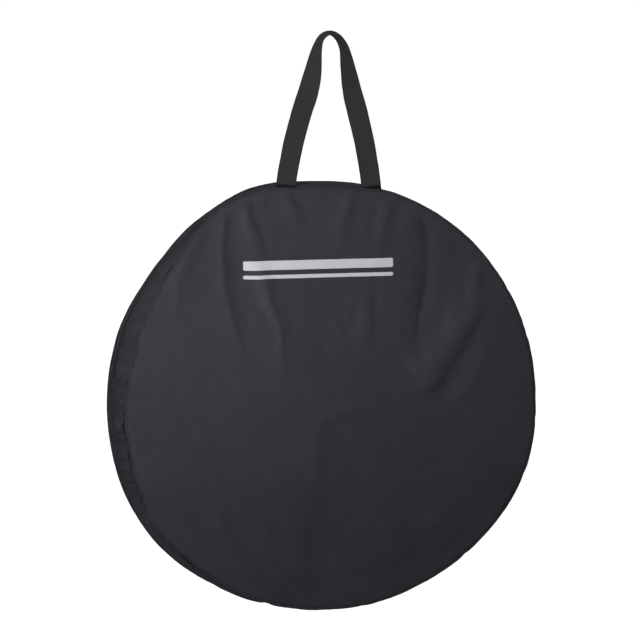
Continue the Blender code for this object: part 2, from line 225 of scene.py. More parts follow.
def push(angle, y):
    # what the outline adds to a radius, at a depth in the bag; the zipper's line keeps its true round
    share = np.clip(np.asarray(y, float) / backSeamY, 0, 1)
    zipShare = zipY / backSeamY
    front, back = frontPush(angle), backPush(angle)
    middle = toBottom(angle, outline["zipEnds"]) * (back + (front - back) * outline["zipFront"])
    before = np.clip(1 - share / zipShare, 0, 1) ** outline["ease"]
    behind = np.clip((share - zipShare) / (1 - zipShare), 0, 1) ** outline["ease"]
    return middle + (front - middle) * before + (back - middle) * behind


def place(angle, radius, y):
    return np.stack((radius * np.sin(angle), y + 0 * angle, centreZ + radius * np.cos(angle)), -1)


def onBag(angle, radius, y):
    return place(angle, radius + push(angle, y), y)


puffs = {
    "high": 3.2 * mm,  # how far the gusset's cloth swells beside the zipper
    "behindZip": 0.5,  # the share of that behind the zipper
    "low": 5.5 * mm,  # and below the zipper's ends
    "lowFrom": (88, 112),  # degrees from the top
    "pucker": 2.1 * mm,  # height of the puckers along both seams
    "puckers": (
        # how many round the ring, seed, height, how far they reach from the front and back seams, back share
        (230, 3, 0.75, 13 * mm, 11 * mm, 1), (84, 4, 1, 34 * mm, 26 * mm, 0.7),
    ),
    "rest": 0.55,  # the puckers' share on the right
    "leftRise": (235, 250), "leftFall": (300, 315),
    "backCalm": 0.6, "calmFrom": (0.35, 0.8),  # low down they are calmer toward the back
    "creaseDepth": 1.5 * mm,
    "creaseLean": 0.012, "creaseSpread": 0.8, "creaseStart": 14,  # they slant, widen and set in at the seam
    "zipFlat": 13 * mm, "zipHold": 0.96,  # the zipper holds the cloth flat
    "seamHold": 3 * mm,
}


def swell(angle, y):
    # how the gusset's cloth stands out from or dips under its true line between the seams
    y = np.asarray(y, float)
    share = np.clip(y / backSeamY, 0, 1)
    fromFront, fromBack = share * backSeamY, (1 - share) * backSeamY
    upper = 1 - toBottom(angle, puffs["lowFrom"])
    toZip = np.clip(fromFront / bag["slotFrontY"], 0, 1)
    behind = np.clip((fromFront - bag["slotBackY"]) / (backSeamY - bag["slotBackY"]), 0, 1)
    high = puffs["high"] * (np.sin(math.pi * toZip) + np.sin(math.pi * behind) * puffs["behindZip"])
    bulge = upper * high + (1 - upper) * np.sin(math.pi * share) * puffs["low"]
    rise = 0
    for count, seed, tall, front, back, backShare in puffs["puckers"]:
        fade = np.exp(-fromFront / front) + backShare * np.exp(-fromBack / back)
        rise = rise + tall * fade * ringRipple(angle, count, seed)
    leftSide = puffs["rest"] + (1 - puffs["rest"]) * between(angle, puffs["leftRise"], puffs["leftFall"])
    rise = puffs["pucker"] * leftSide * rise
    rise = rise * (1 - puffs["backCalm"] * (1 - upper) * smoothStep(*puffs["calmFrom"], share))
    for degrees, depth, half, reach in gussetCreases:
        turn = turnFrom(angle, degrees) + puffs["creaseLean"] * (share - 0.3) * np.sign(depth)
        width = math.radians(half) * (1 + puffs["creaseSpread"] * share)
        start = 1 - np.exp(-share * puffs["creaseStart"])
        rise = rise - puffs["creaseDepth"] * depth * bell(turn, width) * bell(share, reach) * start
    calm = 1 - upper * bell(y - zipY, puffs["zipFlat"], 4) * puffs["zipHold"]
    held = smoothStep(0, puffs["seamHold"], np.minimum(y, backSeamY - y))
    return (bulge + rise * held) * np.where(upper > 0, calm, 1)


frontFolds = (
    # kind, height mm, half width at the top and at the end mm, skew, share that fades in, and a line in
    # mm from the bag's centre
    ("fall", 2.6, 14, 18, 1.3, 0, ((-258, 306), (-278, 215), (-294, 130), (-300, 80))),
    ("fall", 2.2, 6, 8, 1, 0, ((-214, 352), (-196, 330), (-178, 308))),
    ("fall", 3.4, 12, 18, 1.3, 0,
        ((-190, 360), (-198, 300), (-193, 230), (-176, 150), (-160, 90), (-158, 20))),
    ("fall", 3.2, 10, 14, 0.8, 0, ((-154, 380), (-144, 330), (-132, 290), (-120, 235))),
    ("fall", 3.4, 13, 17, 1.3, 0.2, ((-138, 280), (-120, 205), (-94, 140), (-80, 70), (-66, 10), (-62, -40))),
    ("ridge", 1.8, 8, 11, 1, 0, ((-172, 378), (-166, 330), (-160, 290))),
    ("fall", 2.2, 6, 8, 1, 0, ((-116, 390), (-122, 360), (-132, 340))),
    ("ridge", 2, 7, 10, 1, 0, ((-96, 392), (-88, 350), (-86, 310))),
    ("fall", 2.8, 8, 13, 1.2, 0, ((-80, 392), (-66, 362), (-54, 330), (-52, 290))),
    ("ridge", 1.5, 6, 9, 1, 0, ((-58, 392), (-34, 362), (-14, 338))),
    ("fall", 2.6, 13, 17, 1.2, 0, ((46, 400), (34, 350), (26, 310), (20, 260))),
    ("fall", 2.6, 6, 10, 1, 0, ((102, 400), (108, 366), (112, 330))),
    ("fall", 3.4, 11, 15, 1.1, 0, ((130, 380), (113, 332), (103, 288), (97, 240))),
    ("ridge", 2.2, 10, 13, 1, 0, ((158, 360), (150, 318), (140, 276))),
    ("fall", 2.6, 14, 18, 0.8, 0.3, ((62, 232), (71, 176), (75, 130), (77, 90), (86, 50))),
    ("crease", 8, 24, 28, 1, 0.12,
        ((172, 356), (182, 300), (183, 236), (182, 176), (174, 148), (176, 108), (181, 70), (178, 40),
         (170, 12))),
    ("ridge", 0.7, 8, 11, 1, 0.2, ((332, 204), (292, 168), (246, 130), (214, 96))),
    ("slope", 5.2, 23, 33, 0.8, 0.5,
        ((336, 194), (290, 144), (256, 106), (234, 74), (214, 40), (190, 14), (160, -4))),
    ("fall", 3.4, 11, 14, 1, 0.1, ((294, 250), (288, 214), (284, 176), (273, 140))),
    ("ridge", 1.4, 9, 12, 1, 0.2, ((200, 320), (214, 270), (220, 220))),
    ("fall", 1.7, 22, 28, 1, 0.3, ((-198, -150), (-196, -220), (-195, -300), (-190, -350))),
    ("fall", 1.1, 14, 18, 1, 0.3, ((-128, -190), (-118, -250), (-100, -310))),
    ("fall", 1.2, 16, 22, 1, 0.3, ((120, -60), (96, -130), (84, -220))),
    ("fall", 1.2, 16, 20, 1, 0.3, ((260, 20), (252, -60), (228, -140))),
    ("fall", 1.5, 24, 30, 1, 0.3, ((262, -225), (186, -285), (90, -330))),
    ("ridge", 0.8, 7, 10, 1, 0.3, ((150, -150), (178, -176), (214, -186))),
    ("valley", 0.9, 5, 8, 1, 0.3, ((-255, -70), (-193, -62), (-126, -60), (-80, -70))),
    ("ridge", 0.9, 6, 9, 1, 0.3, ((-250, -82), (-193, -80), (-140, -86))),
    ("valley", 1.8, 7, 10, 1, 0, ((-388, 20), (-345, 18), (-312, 34), (-296, 60))),
    ("valley", 1.6, 7, 10, 1, 0, ((-388, -22), (-350, -30), (-318, -26))),
    ("valley", 1.8, 7, 10, 1, 0, ((-380, 84), (-350, 92), (-330, 112))),
    ("valley", 1.6, 6, 9, 1, 0, ((-362, 152), (-332, 160), (-312, 176))),
    ("ridge", 1.2, 9, 12, 1, 0.2, ((-20, 80), (40, 110), (96, 150))),
    ("ridge", 1, 8, 12, 1, 0.2, ((-60, -10), (0, 20), (60, 52), (96, 62))),
)
backFolds = (
    ("fall", 3.6, 12, 17, 1.2, 0, ((205, 340), (200, 262), (178, 150), (160, 60))),
    ("fall", -3.8, 11, 15, 1.2, 0, ((-178, 352), (-166, 270), (-150, 170), (-120, 80))),
    ("valley", 3, 11, 14, 1, 0.05, ((-60, 388), (-52, 320), (-56, 240), (-40, 160))),
    ("fall", 3.2, 10, 14, 1.2, 0, ((96, 384), (88, 310), (96, 220), (84, 130), (92, 60))),
    ("ridge", 3, 12, 16, 1, 0.1, ((-330, 140), (-262, 96), (-190, 30), (-150, -30))),
    ("valley", 2.4, 11, 14, 1, 0.1, ((318, 60), (240, 20), (170, -40))),
    ("fall", 2, 14, 18, 1, 0.2, ((60, -120), (70, -220), (50, -320))),
    ("fall", -1.8, 13, 18, 1, 0.2, ((-170, -130), (-190, -220), (-176, -310))),
    ("valley", 1.4, 7, 10, 1, 0.2, ((-300, -90), (-210, -70), (-120, -84))),
)
foldKinds = {
    # the share of its length after which a fold fades, and its height at d half widths to one side
    "fall": (0.25, lambda d: -d * np.exp(0.5 - d * d / 2)),
    "slope": (0.74, lambda d: -d * np.exp(0.5 - d * d / 2)),
    "ridge": (0.25, lambda d: np.exp(-d * d)),
    "valley": (0.25, lambda d: -np.exp(-(np.sqrt(d * d + 0.09) - 0.3))),
    # a long slope down to a sharp line, then a short lip
    "crease": (0.54, lambda d: -np.exp(-np.abs(d)) * np.where(d < 0, np.exp(-d * d / 3), np.exp(-np.abs(d)))),
}
foldLook = {
    # what leads the folds astray, sideways and up: mm, cell in metres, seed
    "strayX": ((6, (0.06, 0.075), 201), (1.8, (0.02, 0.027), 202)),
    "strayZ": ((5, (0.07, 0.06), 203), (1.5, (0.02, 0.02), 204)),
    "gain": 1.7,  # how much higher they are drawn than they settle
    "widthVaries": 0.25, "heightVaries": 0.3,
}


def nearestOn(path, u, v):
    # the distance from a line, the side it lies on and how far along it is, for a field of points
    near, side, along = np.full(u.shape, 1e9), np.zeros_like(u), np.zeros_like(u)
    run = 0.0
    for a, b in zip(path, path[1:]):
        length = math.dist(a, b)
        d = (b - a) / length
        t = np.clip((u - a[0]) * d[0] + (v - a[1]) * d[1], 0, length)
        gap = np.hypot(u - a[0] - t * d[0], v - a[1] - t * d[1])
        closer = gap < near
        near = np.where(closer, gap, near)
        side = np.where(closer, np.sign(d[0] * (v - a[1]) - d[1] * (u - a[0])), side)
        along = np.where(closer, run + t, along)
        run += length
    return near * side, along, run


def foldHeights(x, z, folds):
    height = np.zeros_like(x)
    u = x + mm * sum(size * patch(x, z, cell, seed) for size, cell, seed in foldLook["strayX"])
    v = z + mm * sum(size * patch(x, z, cell, seed) for size, cell, seed in foldLook["strayZ"])
    for order, (kind, tall, wideTop, wideEnd, skew, fadeIn, line) in enumerate(folds):
        across, run, total = nearestOn(curveThrough(line, 8) * mm, u, v)
        along = run / total
        wide = foldLook["widthVaries"] * patch(run, order * 0.37, (0.05, 0.1), 205)
        high = foldLook["heightVaries"] * patch(run, order * 0.53, (0.045, 0.1), 206)
        width = mm * (wideTop + (wideEnd - wideTop) * along) * (1 + wide)
        holdTo, shape = foldKinds[kind]
        strength = mm * tall * foldLook["gain"] * (1 - smoothStep(holdTo, 1, along)) * (1 + high)
        if fadeIn:
            strength = strength * smoothStep(0, fadeIn, along)
        height += strength * shape(across / width / np.where(across > 0, skew, 1 / skew))
    return height


def addObject(name, data):
    made = bpy.data.objects.new(name, data)
    bpy.context.scene.collection.objects.link(made)
    return made


def finishMesh(name, points, faces, lay, wearAndShade=0, sharp=None):
    # lay is the cloth's own flat coordinates, the wear value its rubbing or, below zero, painted shade
    mesh = bpy.data.meshes.new(name)
    mesh.from_pydata(np.reshape(points, (-1, 3)).tolist(), [], faces)
    mesh.update()
    flat = np.zeros((len(mesh.vertices), 4), np.float32)
    flat[:, :2], flat[:, 3] = np.reshape(lay, (-1, 2)), np.ravel(wearAndShade)
    mesh.attributes.new("lay", "FLOAT_VECTOR", "POINT").data.foreach_set("vector", flat[:, :3].ravel())
    mesh.attributes.new("wearAndShade", "FLOAT", "POINT").data.foreach_set("value", flat[:, 3].copy())
    mesh.shade_smooth()
    if sharp:
        mesh.set_sharp_from_angle(angle=math.radians(sharp))
    return addObject(name, mesh)


def turnOut(piece):
    # a closed piece's faces look outward
    bm = bmesh.new()
    bm.from_mesh(piece.data)
    bmesh.ops.recalc_face_normals(bm, faces=bm.faces)
    bm.to_mesh(piece.data)
    bm.free()
    return piece


def turnToward(piece, outward):
    # an open sheet's faces look the way that outward gives for a place
    if sum(p.normal.dot(outward(p.center)) for p in piece.data.polygons) < 0:
        piece.data.flip_normals()


def fromAxis(spot):
    return Vector((spot.x, 0, spot.z - centreZ))


def gridFaces(rows, columns, roundRows=False, roundColumns=False):
    index = np.arange(rows * columns).reshape(rows, columns)
    if roundRows:
        index = np.vstack((index, index[:1]))
    if roundColumns:
        index = np.hstack((index, index[:, :1]))
    return np.stack((index[:-1, :-1], index[:-1, 1:], index[1:, 1:], index[1:, :-1]), -1).reshape(-1, 4)


def tubeMesh(name, grid, lay, wearAndShade=0, closedRound=False, sharp=None):
    # a grid of rings (ring, point, xyz) that close on themselves, capped unless the rings close too
    rings, points, _ = grid.shape
    faces = gridFaces(rings, points, closedRound, True).tolist()
    if not closedRound:
        faces += [list(range(points)), list(range((rings - 1) * points, rings * points))]
    return turnOut(finishMesh(name, grid, faces, lay, wearAndShade, sharp))


def baked(piece):
    # turns a piece's modifiers into its mesh
    bpy.context.view_layer.update()
    graph = bpy.context.evaluated_depsgraph_get()
    mesh = bpy.data.meshes.new_from_object(
        piece.evaluated_get(graph), preserve_all_data_layers=True, depsgraph=graph,
    )
    old = piece.data
    piece.modifiers.clear()
    piece.data = mesh
    mesh.name = piece.name
    bpy.data.meshes.remove(old)


def thicken(piece, wall, lining=None):
    # gives a sheet its wall on the inner side
    if lining:
        piece.data.materials.append(lining)
    change = piece.modifiers.new("wall", "SOLIDIFY")
    change.thickness = wall
    change.offset = -1
    change.use_even_offset = False
    change.material_offset = 1 if lining else 0
    baked(piece)


def sag(piece, pins, slack, facts):
    # lets sewn cloth with a little spare length settle under its own weight
    for name, weights in (("pins", pins), ("slack", slack)):
        group = piece.vertex_groups.new(name=name)
        for index in np.flatnonzero(weights > 0.001).tolist():
            group.add([index], float(weights[index]), "REPLACE")
    change = piece.modifiers.new("cloth", "CLOTH")
    change.point_cache.frame_start, change.point_cache.frame_end = 1, facts["frames"]
    for key, value in facts["cloth"].items():
        setattr(change.settings, key, value)
    change.settings.effector_weights.gravity = facts["gravity"]
    change.collision_settings.use_collision = False
    scene = bpy.context.scene
    for step in range(1, facts["frames"] + 1):
        scene.frame_set(step)
    baked(piece)
    scene.frame_set(1)
    piece.vertex_groups.clear()


def dress(piece, material):
    piece.data.materials.append(material)
    return piece


def sew(piece, *nodes, folds=False):
    # hides the solids a piece stands for, and ties the piece to the shell, or over the fold line only bakes
    # its placement into its mesh
    if nodes:
        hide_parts(*nodes)
    if folds:
        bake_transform(piece)
    else:
        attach(piece, "shell")


sides = {
    # out is the way the side faces along y, face is where its panel's skin lies, the last four are seeds
    "front": {
        "out": -1, "push": frontPush, "folds": frontFolds, "face": bag["frontY"],
        "panel": 11, "slack": 131, "cord": 51, "tape": 71,
    },
    "back": {
        "out": 1, "push": backPush, "folds": backFolds, "face": bag["backY"],
        "panel": 31, "slack": 132, "cord": 61, "tape": 81,
    },
}


def arithmetic(operation, onRight=False):
    # an operator of Wire, for a wire on its left or on its right
    return lambda self, other: self.math(operation, *((other, self) if onRight else (self, other)))


class Wire:
    # an output socket that takes part in plain arithmetic
    def __init__(self, dye, socket):
        self.dye, self.socket = dye, socket

    def math(self, operation, *values):
        return self.dye.node("Math", {"operation": operation}, dict(enumerate(values)))

    __add__, __radd__ = arithmetic("ADD"), arithmetic("ADD", True)
    __sub__, __rsub__ = arithmetic("SUBTRACT"), arithmetic("SUBTRACT", True)
    __mul__, __rmul__ = arithmetic("MULTIPLY"), arithmetic("MULTIPLY", True)
    __truediv__, __rtruediv__ = arithmetic("DIVIDE"), arithmetic("DIVIDE", True)
    __pow__, __rpow__ = arithmetic("POWER"), arithmetic("POWER", True)

    def __neg__(self):
        return self * -1

    def __abs__(self):
        return self.math("ABSOLUTE", self)

    def most(self, other):
        return self.math("MAXIMUM", self, other)

    def waves(self, length):
        # a sine with so many metres to a wave
        turns = self * (math.tau / length)
        return turns.math("SINE", turns)

    def fraction(self):
        return self.math("FRACT", self)


class Dye:
    # the nodes of one finish, or of the world, while they are built
    def __init__(self, owner, shader="Principled BSDF", **constants):
        owner.use_nodes = True
        self.owner, self.tree = owner, owner.node_tree
        self.shader = self.tree.nodes[shader]
        self.shade(**constants)

    def node(self, kind, settings=None, sockets=None, out=0):
        made = self.tree.nodes.new("ShaderNode" + kind)
        for key, value in (settings or {}).items():
            setattr(made, key, value)
        for key, value in (sockets or {}).items():
            self.feed(made.inputs[key], value)
        return Wire(self, made.outputs[out])

    def feed(self, socket, value):
        if isinstance(value, Wire):
            self.tree.links.new(value.socket, socket)
        else:
            socket.default_value = value

    def shade(self, **sockets):
        for key, value in sockets.items():
            self.feed(self.shader.inputs[key.replace("_", " ")], value)
        return self.owner

    def outputs(self, kind, sockets=None):
        # every output of one node
        made = self.node(kind, {}, sockets).socket.node
        return {s.name: Wire(self, s) for s in made.outputs}

    def lay(self):
        # the cloth's own flat coordinates in metres, kept on its points
        return self.node("Attribute", {"attribute_name": "lay"}, out="Vector")

    def wearAndShade(self):
        # rubbing above zero, painted shade below zero
        return self.node("Attribute", {"attribute_name": "wearAndShade"}, out="Fac")

    def where(self):
        return self.node("TexCoord", out="Object")

    def split(self, vector):
        x, y, _ = self.outputs("SeparateXYZ", {0: vector}).values()
        return x, y

    def stretch(self, vector, scale):
        return self.node("VectorMath", {"operation": "MULTIPLY"}, {0: vector, 1: scale})

    def noise(self, vector, scale, detail=2.0, rough=0.5):
        sockets = {"Vector": vector, "Scale": scale, "Detail": detail, "Roughness": rough}
        return self.node("TexNoise", {}, sockets)

    def mix(self, share, first, second):
        return self.node("Mix", {"data_type": "RGBA"}, {0: share, 6: first, 7: second}, out=2)

    def step(self, value, low, high):
        return self.node("MapRange", {"interpolation_type": "SMOOTHSTEP"}, {0: value, 1: low, 2: high})

    def finish(self, base, roughness, height):
        bump = self.node("Bump", {}, {"Height": height, "Strength": 1.0, "Distance": 1.0})
        return self.shade(Base_Color=base, Roughness=roughness, Normal=bump)

    def seenRays(self):
        # 1 for the rays that should see plain white
        rays = self.outputs("LightPath")
        return rays["Is Camera Ray"].most(rays["Is Glossy Ray"]).most(rays["Is Transmission Ray"])


def newDye(name, gloss, **constants):
    return Dye(bpy.data.materials.new(name), Specular_IOR_Level=gloss, **constants)


def tint(colour, share):
    return tuple(c * share for c in colour) + (1,)


clothLook = {
    "colour": (0.0380, 0.0392, 0.0450),
    "thread": 0.62 * mm,
    "slub": 0.12,  # thick places in the threads, drawn out along them by this
    "broad": (5.5, 3, 0.55), "middle": (46, 4, 0.6), "fine": (260, 2, 0.6),  # scale, detail, roughness
    "broadShare": 0.9, "middleShare": 0.5, "slubShare": 0.2,
    "shades": (0.86, 1.13),  # its darker and lighter patches
    "gaps": 0.72,  # its colour between the threads
    "rubbed": (1.02 * 1.9, 1.9, 0.97 * 1.9),  # rubbed cloth is paler and a little warmer
    # the colour of painted shade, where the wear value is below zero
    "paintedShadeTone": 0.35,
    "weaveRise": 0.045 * mm, "crumpleRise": 0.44 * mm, "fineRise": 0.05 * mm,
}
stripes = {
    # plain light bars printed on the upper front, in metres from the bag's centre:
    # middle x, middle z, half length, half height
    "bars": ((-0.024, 0.2535, 0.143, 0.0085), (-0.024, 0.2325, 0.143, 0.0034)),
    "round": 3 * mm,
    "colour": (0.475, 0.48, 0.50, 1),
    "edge": 0.35 * mm,
    "rough": 0.42,
    "rise": 0.05 * mm,
    "smooths": 0.45,  # how much of the weave the ink fills
    "thin": 0.14,  # how much of it is gone where the threads stand up
}


def stripeInk(dye, u, v, fine, middle):
    bars = []
    for x, z, halfLength, halfHeight in stripes["bars"]:
        corner = min(stripes["round"], halfHeight * 0.9)
        dx = (abs(u - x) - (halfLength - corner)).most(0.0)
        dz = (abs(v - z) - (halfHeight - corner)).most(0.0)
        gap = (dx ** 2 + dz ** 2) ** 0.5 - corner
        bars.append(dye.node("MapRange", {}, {0: gap, 1: stripes["edge"], 2: -stripes["edge"]}))
    kept = dye.step(fine + middle * 0.4, 0.28, 0.42)
    return bars[0].most(bars[1]) * (1 - stripes["thin"] + kept * stripes["thin"])


def wovenCloth(name, shade=1, fineness=1, rough=0.56, crumple=1, gloss=0.012, bias=False, printed=False):
    dye = newDye(name, gloss)
    colour = [c * shade for c in clothLook["colour"]]
    lay, wearAndShade = dye.lay(), dye.wearAndShade()
    u, v = dye.split(lay)
    if bias:  # bias-cut cloth lies at 45 degrees
        u, v = (u + v) * 0.7071, (u - v) * 0.7071
    drawn = clothLook["slub"]
    slub, slubAcross = (dye.noise(dye.stretch(lay, scale), 900) for scale in ((1, drawn, 1), (drawn, 1, 1)))
    twoThreads = 2 * clothLook["thread"] * fineness
    weave = u.waves(twoThreads) * v.waves(twoThreads) * (0.7 + slub * 0.6)
    broad, middle, fine = (dye.noise(lay, *clothLook[size]) for size in ("broad", "middle", "fine"))
    patches = 0.5 + (broad - 0.5) * clothLook["broadShare"] + (middle - 0.5) * clothLook["middleShare"]
    patches = patches + (slub + slubAcross - 1) * clothLook["slubShare"]
    dark, light = clothLook["shades"]
    base = dye.mix(dye.step(patches, 0.1, 0.9), tint(colour, dark), tint(colour, light))
    base = dye.mix(dye.step(weave, -1.1, 0.4), tint(colour, clothLook["gaps"]), base)
    rubbed = (*(c * more for c, more in zip(colour, clothLook["rubbed"])), 1)
    base = dye.mix(wearAndShade * (0.35 + fine * 0.5), base, rubbed)
    # painted shade darkens the cloth where the wear value is below zero
    base = dye.mix(dye.step(wearAndShade, 0.0, -1.0), base, tint(colour, clothLook["paintedShadeTone"]))
    roughness = rough + (middle - 0.5) * 0.10 + (fine - 0.5) * 0.06
    height = weave * clothLook["weaveRise"] + (middle - 0.5) * (clothLook["crumpleRise"] * crumple)
    height = height + (fine - 0.5) * clothLook["fineRise"]
    if printed:
        ink = stripeInk(dye, u, v, fine, middle)
        base = dye.mix(ink, base, stripes["colour"])
        roughness = roughness * (1 - ink) + ink * stripes["rough"]
        height = height * (1 - ink * stripes["smooths"]) + ink * stripes["rise"]
    return dye.finish(base, roughness, height)


def liningCloth():
    dye = newDye("coated_lining", 0.45)
    lay = dye.lay()
    middle, fine = dye.noise(lay, 60, 4, 0.6), dye.noise(lay, 420)
    base = dye.mix(middle, (0.030, 0.031, 0.034, 1), (0.052, 0.053, 0.057, 1))
    return dye.finish(base, 0.36 + fine * 0.16, (middle - 0.5) * (0.5 * mm) + (fine - 0.5) * (0.04 * mm))


webLook = {
    "colour": (0.0365, 0.0355, 0.0352),
    "rib": 1.45 * mm, "column": 9.5 * mm, "zigzag": 1.05,  # the herringbone's ribs, columns and slant
    "yarn": 0.95 * mm,
    "selvedge": (16.2 * mm, 17.2 * mm), "edgeRib": 1.1 * mm,  # from the middle, on both edges
    "rise": 0.16 * mm, "fuzz": 0.08 * mm,
}


def strapWebbing():
    # herringbone polypropylene tape, with a tighter selvedge on both edges
    dye = newDye("strap_webbing", 0)
    colour, column = webLook["colour"], webLook["column"]
    lay, wearAndShade = dye.lay(), dye.wearAndShade()
    across, along = dye.split(lay)
    slant = abs((across / column + 100.5).fraction() - 0.5) * (column * webLook["zigzag"])
    woven = (along + slant).waves(webLook["rib"]) * 0.7 + across.waves(webLook["yarn"]) * 0.3
    edge = dye.step(abs(across), *webLook["selvedge"])
    height = woven * (1 - edge * 0.55) + edge * along.waves(webLook["edgeRib"]) * 0.5
    broad, fine = dye.noise(lay, 22, 3), dye.noise(lay, 700)
    base = dye.mix(dye.step(height, -1, 0.8), tint(colour, 0.62), tint(colour, 1.16))
    base = dye.mix((broad - 0.3) * 0.5, base, tint(colour, 1.25))
    # painted shade along both edges, where the tape curves away
    base = dye.mix(edge * 0.8, base, tint(colour, 0.55))
    base = dye.mix(wearAndShade * (0.3 + fine * 0.5), base, tint(colour, 2.1))
    base = dye.mix(dye.step(wearAndShade, -0.1, -1.0), base, tint(colour, 0.3))  # painted shade where the strap's foot goes into the seam
    height = height * webLook["rise"] + (fine - 0.5) * webLook["fuzz"]
    return dye.finish(base, 0.60 + (fine - 0.5) * 0.14, height)


def tapeWeave(name, colour, rib, rough):
    # narrow woven tape: fine ribs along it, fibres across
    dye = newDye(name, 0.01)
    lay, wearAndShade = dye.lay(), dye.wearAndShade()
    along, across = dye.split(lay)
    ribs = across.waves(rib) * 0.7 + along.waves(0.7 * rib) * 0.3
    fine, broad = dye.noise(lay, 900), dye.noise(lay, 40, 3)
    base = dye.mix(dye.step(ribs, -1, 1), tint(colour, 0.7), tint(colour, 1.2))
    base = dye.mix((broad - 0.3) * 0.6, base, tint(colour, 1.35))
    base = dye.mix(wearAndShade * 0.5, base, tint(colour, 2.0))
    return dye.finish(base, rough + (fine - 0.5) * 0.12, ribs * (0.09 * mm) + (fine - 0.5) * (0.05 * mm))


def coilPlastic():
    dye = newDye("coil_nylon", 0.02)
    fine, broad = dye.noise(dye.where(), 1500), dye.noise(dye.where(), 60)
    base = dye.mix(broad, (0.017, 0.017, 0.019, 1), (0.028, 0.028, 0.031, 1))
    return dye.finish(base, 0.30 + fine * 0.16, (fine - 0.5) * (0.03 * mm))


def sewingThread():
    dye = newDye("sewing_thread", 0.02)
    along, across = dye.split(dye.lay())
    ply = (along + across * 0.6).waves(0.55 * mm)
    fine = dye.noise(dye.lay(), 2200)
    base = dye.mix(dye.step(ply, -1, 1), (0.020, 0.020, 0.023, 1), (0.046, 0.047, 0.051, 1))
    return dye.finish(base, 0.52 + (fine - 0.5) * 0.2, ply * (0.05 * mm))


def sliderMetal():
    # black nickel, rubbed to bare metal in small spots
    dye = newDye("slider_black_nickel", 0.5, Metallic=1.0)
    fine = dye.noise(dye.where(), 900, 4, 0.6)
    scratch = dye.noise(dye.stretch(dye.where(), (1, 9, 1)), 420, 3, 0.7)
    worn = dye.step(fine + scratch * 0.5, 0.84, 1.08)
    base = dye.mix(fine, (0.110, 0.109, 0.113, 1), (0.160, 0.158, 0.163, 1))
    base = dye.mix(worn * 0.35, base, (0.40, 0.39, 0.38, 1))
    return dye.finish(base, 0.26 + scratch * 0.22 - worn * 0.05, (scratch - 0.5) * (0.03 * mm))


panelCloth = wovenCloth("panel_oxford", printed=True)
backCloth = wovenCloth("back_oxford")
gussetCloth = wovenCloth("gusset_oxford", 0.95, rough=0.7, crumple=1.3, gloss=0)
pipingCloth = wovenCloth("piping_bias", 0.88, 0.9, rough=0.6, gloss=0, bias=True)
tabCloth = wovenCloth("tab_oxford", 0.78, rough=0.6, gloss=0)
lining = liningCloth()
webbing = strapWebbing()
zipTape = tapeWeave("zipper_tape_weave", (0.020, 0.020, 0.022), 0.9 * mm, 0.7)
bindingTape = tapeWeave("binding_tape_weave", (0.022, 0.022, 0.024), 1.1 * mm, 0.78)
coil = coilPlastic()
thread = sewingThread()
metal = sliderMetal()
print("finishes ready")

panelLook = {
    "side": 72, "out": 48, "core": 0.42,  # cells along and out from its square core, and the core's size
    "crowding": 0.9,  # below 1 the cells are finer toward the rim
    "strayPower": 2.6,  # how soon the outline's strays die out toward the middle
    "overPiping": 1.6 * mm, "overFrom": 0.97,
    "rimRise": 1.1 * mm,
    "stitchDip": 0.5 * mm, "stitchIn": 2 * mm, "stitchWide": 2.5 * mm,
    "foldsEnd": 26 * mm, "foldsHeld": 0.8,  # near the seam the folds are held down
    "foldVary": (0.28, (0.031, 0.046)),
    "upper": (-0.12, 0.2),  # heights between which the cloth becomes looser
    "dents": (
        # mm low down and added high up, what u and v take of x and z, cell in metres, how soon they fade
        (0.9, 1.5, (0.92, 0.1), (0, 1), (0.055, 0.19), 6),
        (1.6, 0, (1, 0), (0, 1), (0.16, 0.13), 6),
        (0.38, 0.30, (1, 0.3), (-0.2, 1), (0.021, 0.034), 8),
    ),
    "puckers": ((0.75, 15 * mm, 190, 3 * mm), (0.9, 42 * mm, 70, 6 * mm)),  # mm, reach, how many, start
    "ridgeWear": 0.3, "ridge": 6 * mm, "rimWear": 0.22, "rim": 3 * mm,  # ridges and the rim are rubbed
    "pinned": (4 * mm, 16 * mm),  # the seam holds the cloth, from here inward it is free
    "slack": (0.25, (-0.16, 0.16), 0.28),  # its share low down, where it changes, how much it varies
}
panelSag = {
    "frames": 14, "gravity": 0.3,
    "cloth": {
        "quality": 4, "mass": 0.02, "air_damping": 1, "shrink_min": 0, "shrink_max": -0.012,
        "tension_stiffness": 12, "compression_stiffness": 12, "shear_stiffness": 5, "bending_stiffness": 0.02,
        "vertex_group_mass": "pins", "vertex_group_shrink": "slack",
    },
}
# painted shade on the front panel, right of a slanting line and toward the bottom
frontPaintedShade = {
    # its left edge, z and x in mm from the bag's centre
    "edge": (
        (-330, -100), (-271, -82), (-215, -60), (-159, -48), (-103, -28), (-47, -22), (-9, 46), (28, 105),
    ),
    "near": 0.36, "far": 0.18,  # at the edge, and further right
    "low": 0.24,  # darker toward the bottom of the bag
    "reach": 75 * mm, "blur": 27 * mm,
    "stray": (15 * mm, 0.06), "vary": 0.25,
    "above": (0.035, -0.04), "right": (0.36, 0.20), "bottom": (-0.09, -0.17),  # where each part fades in
}


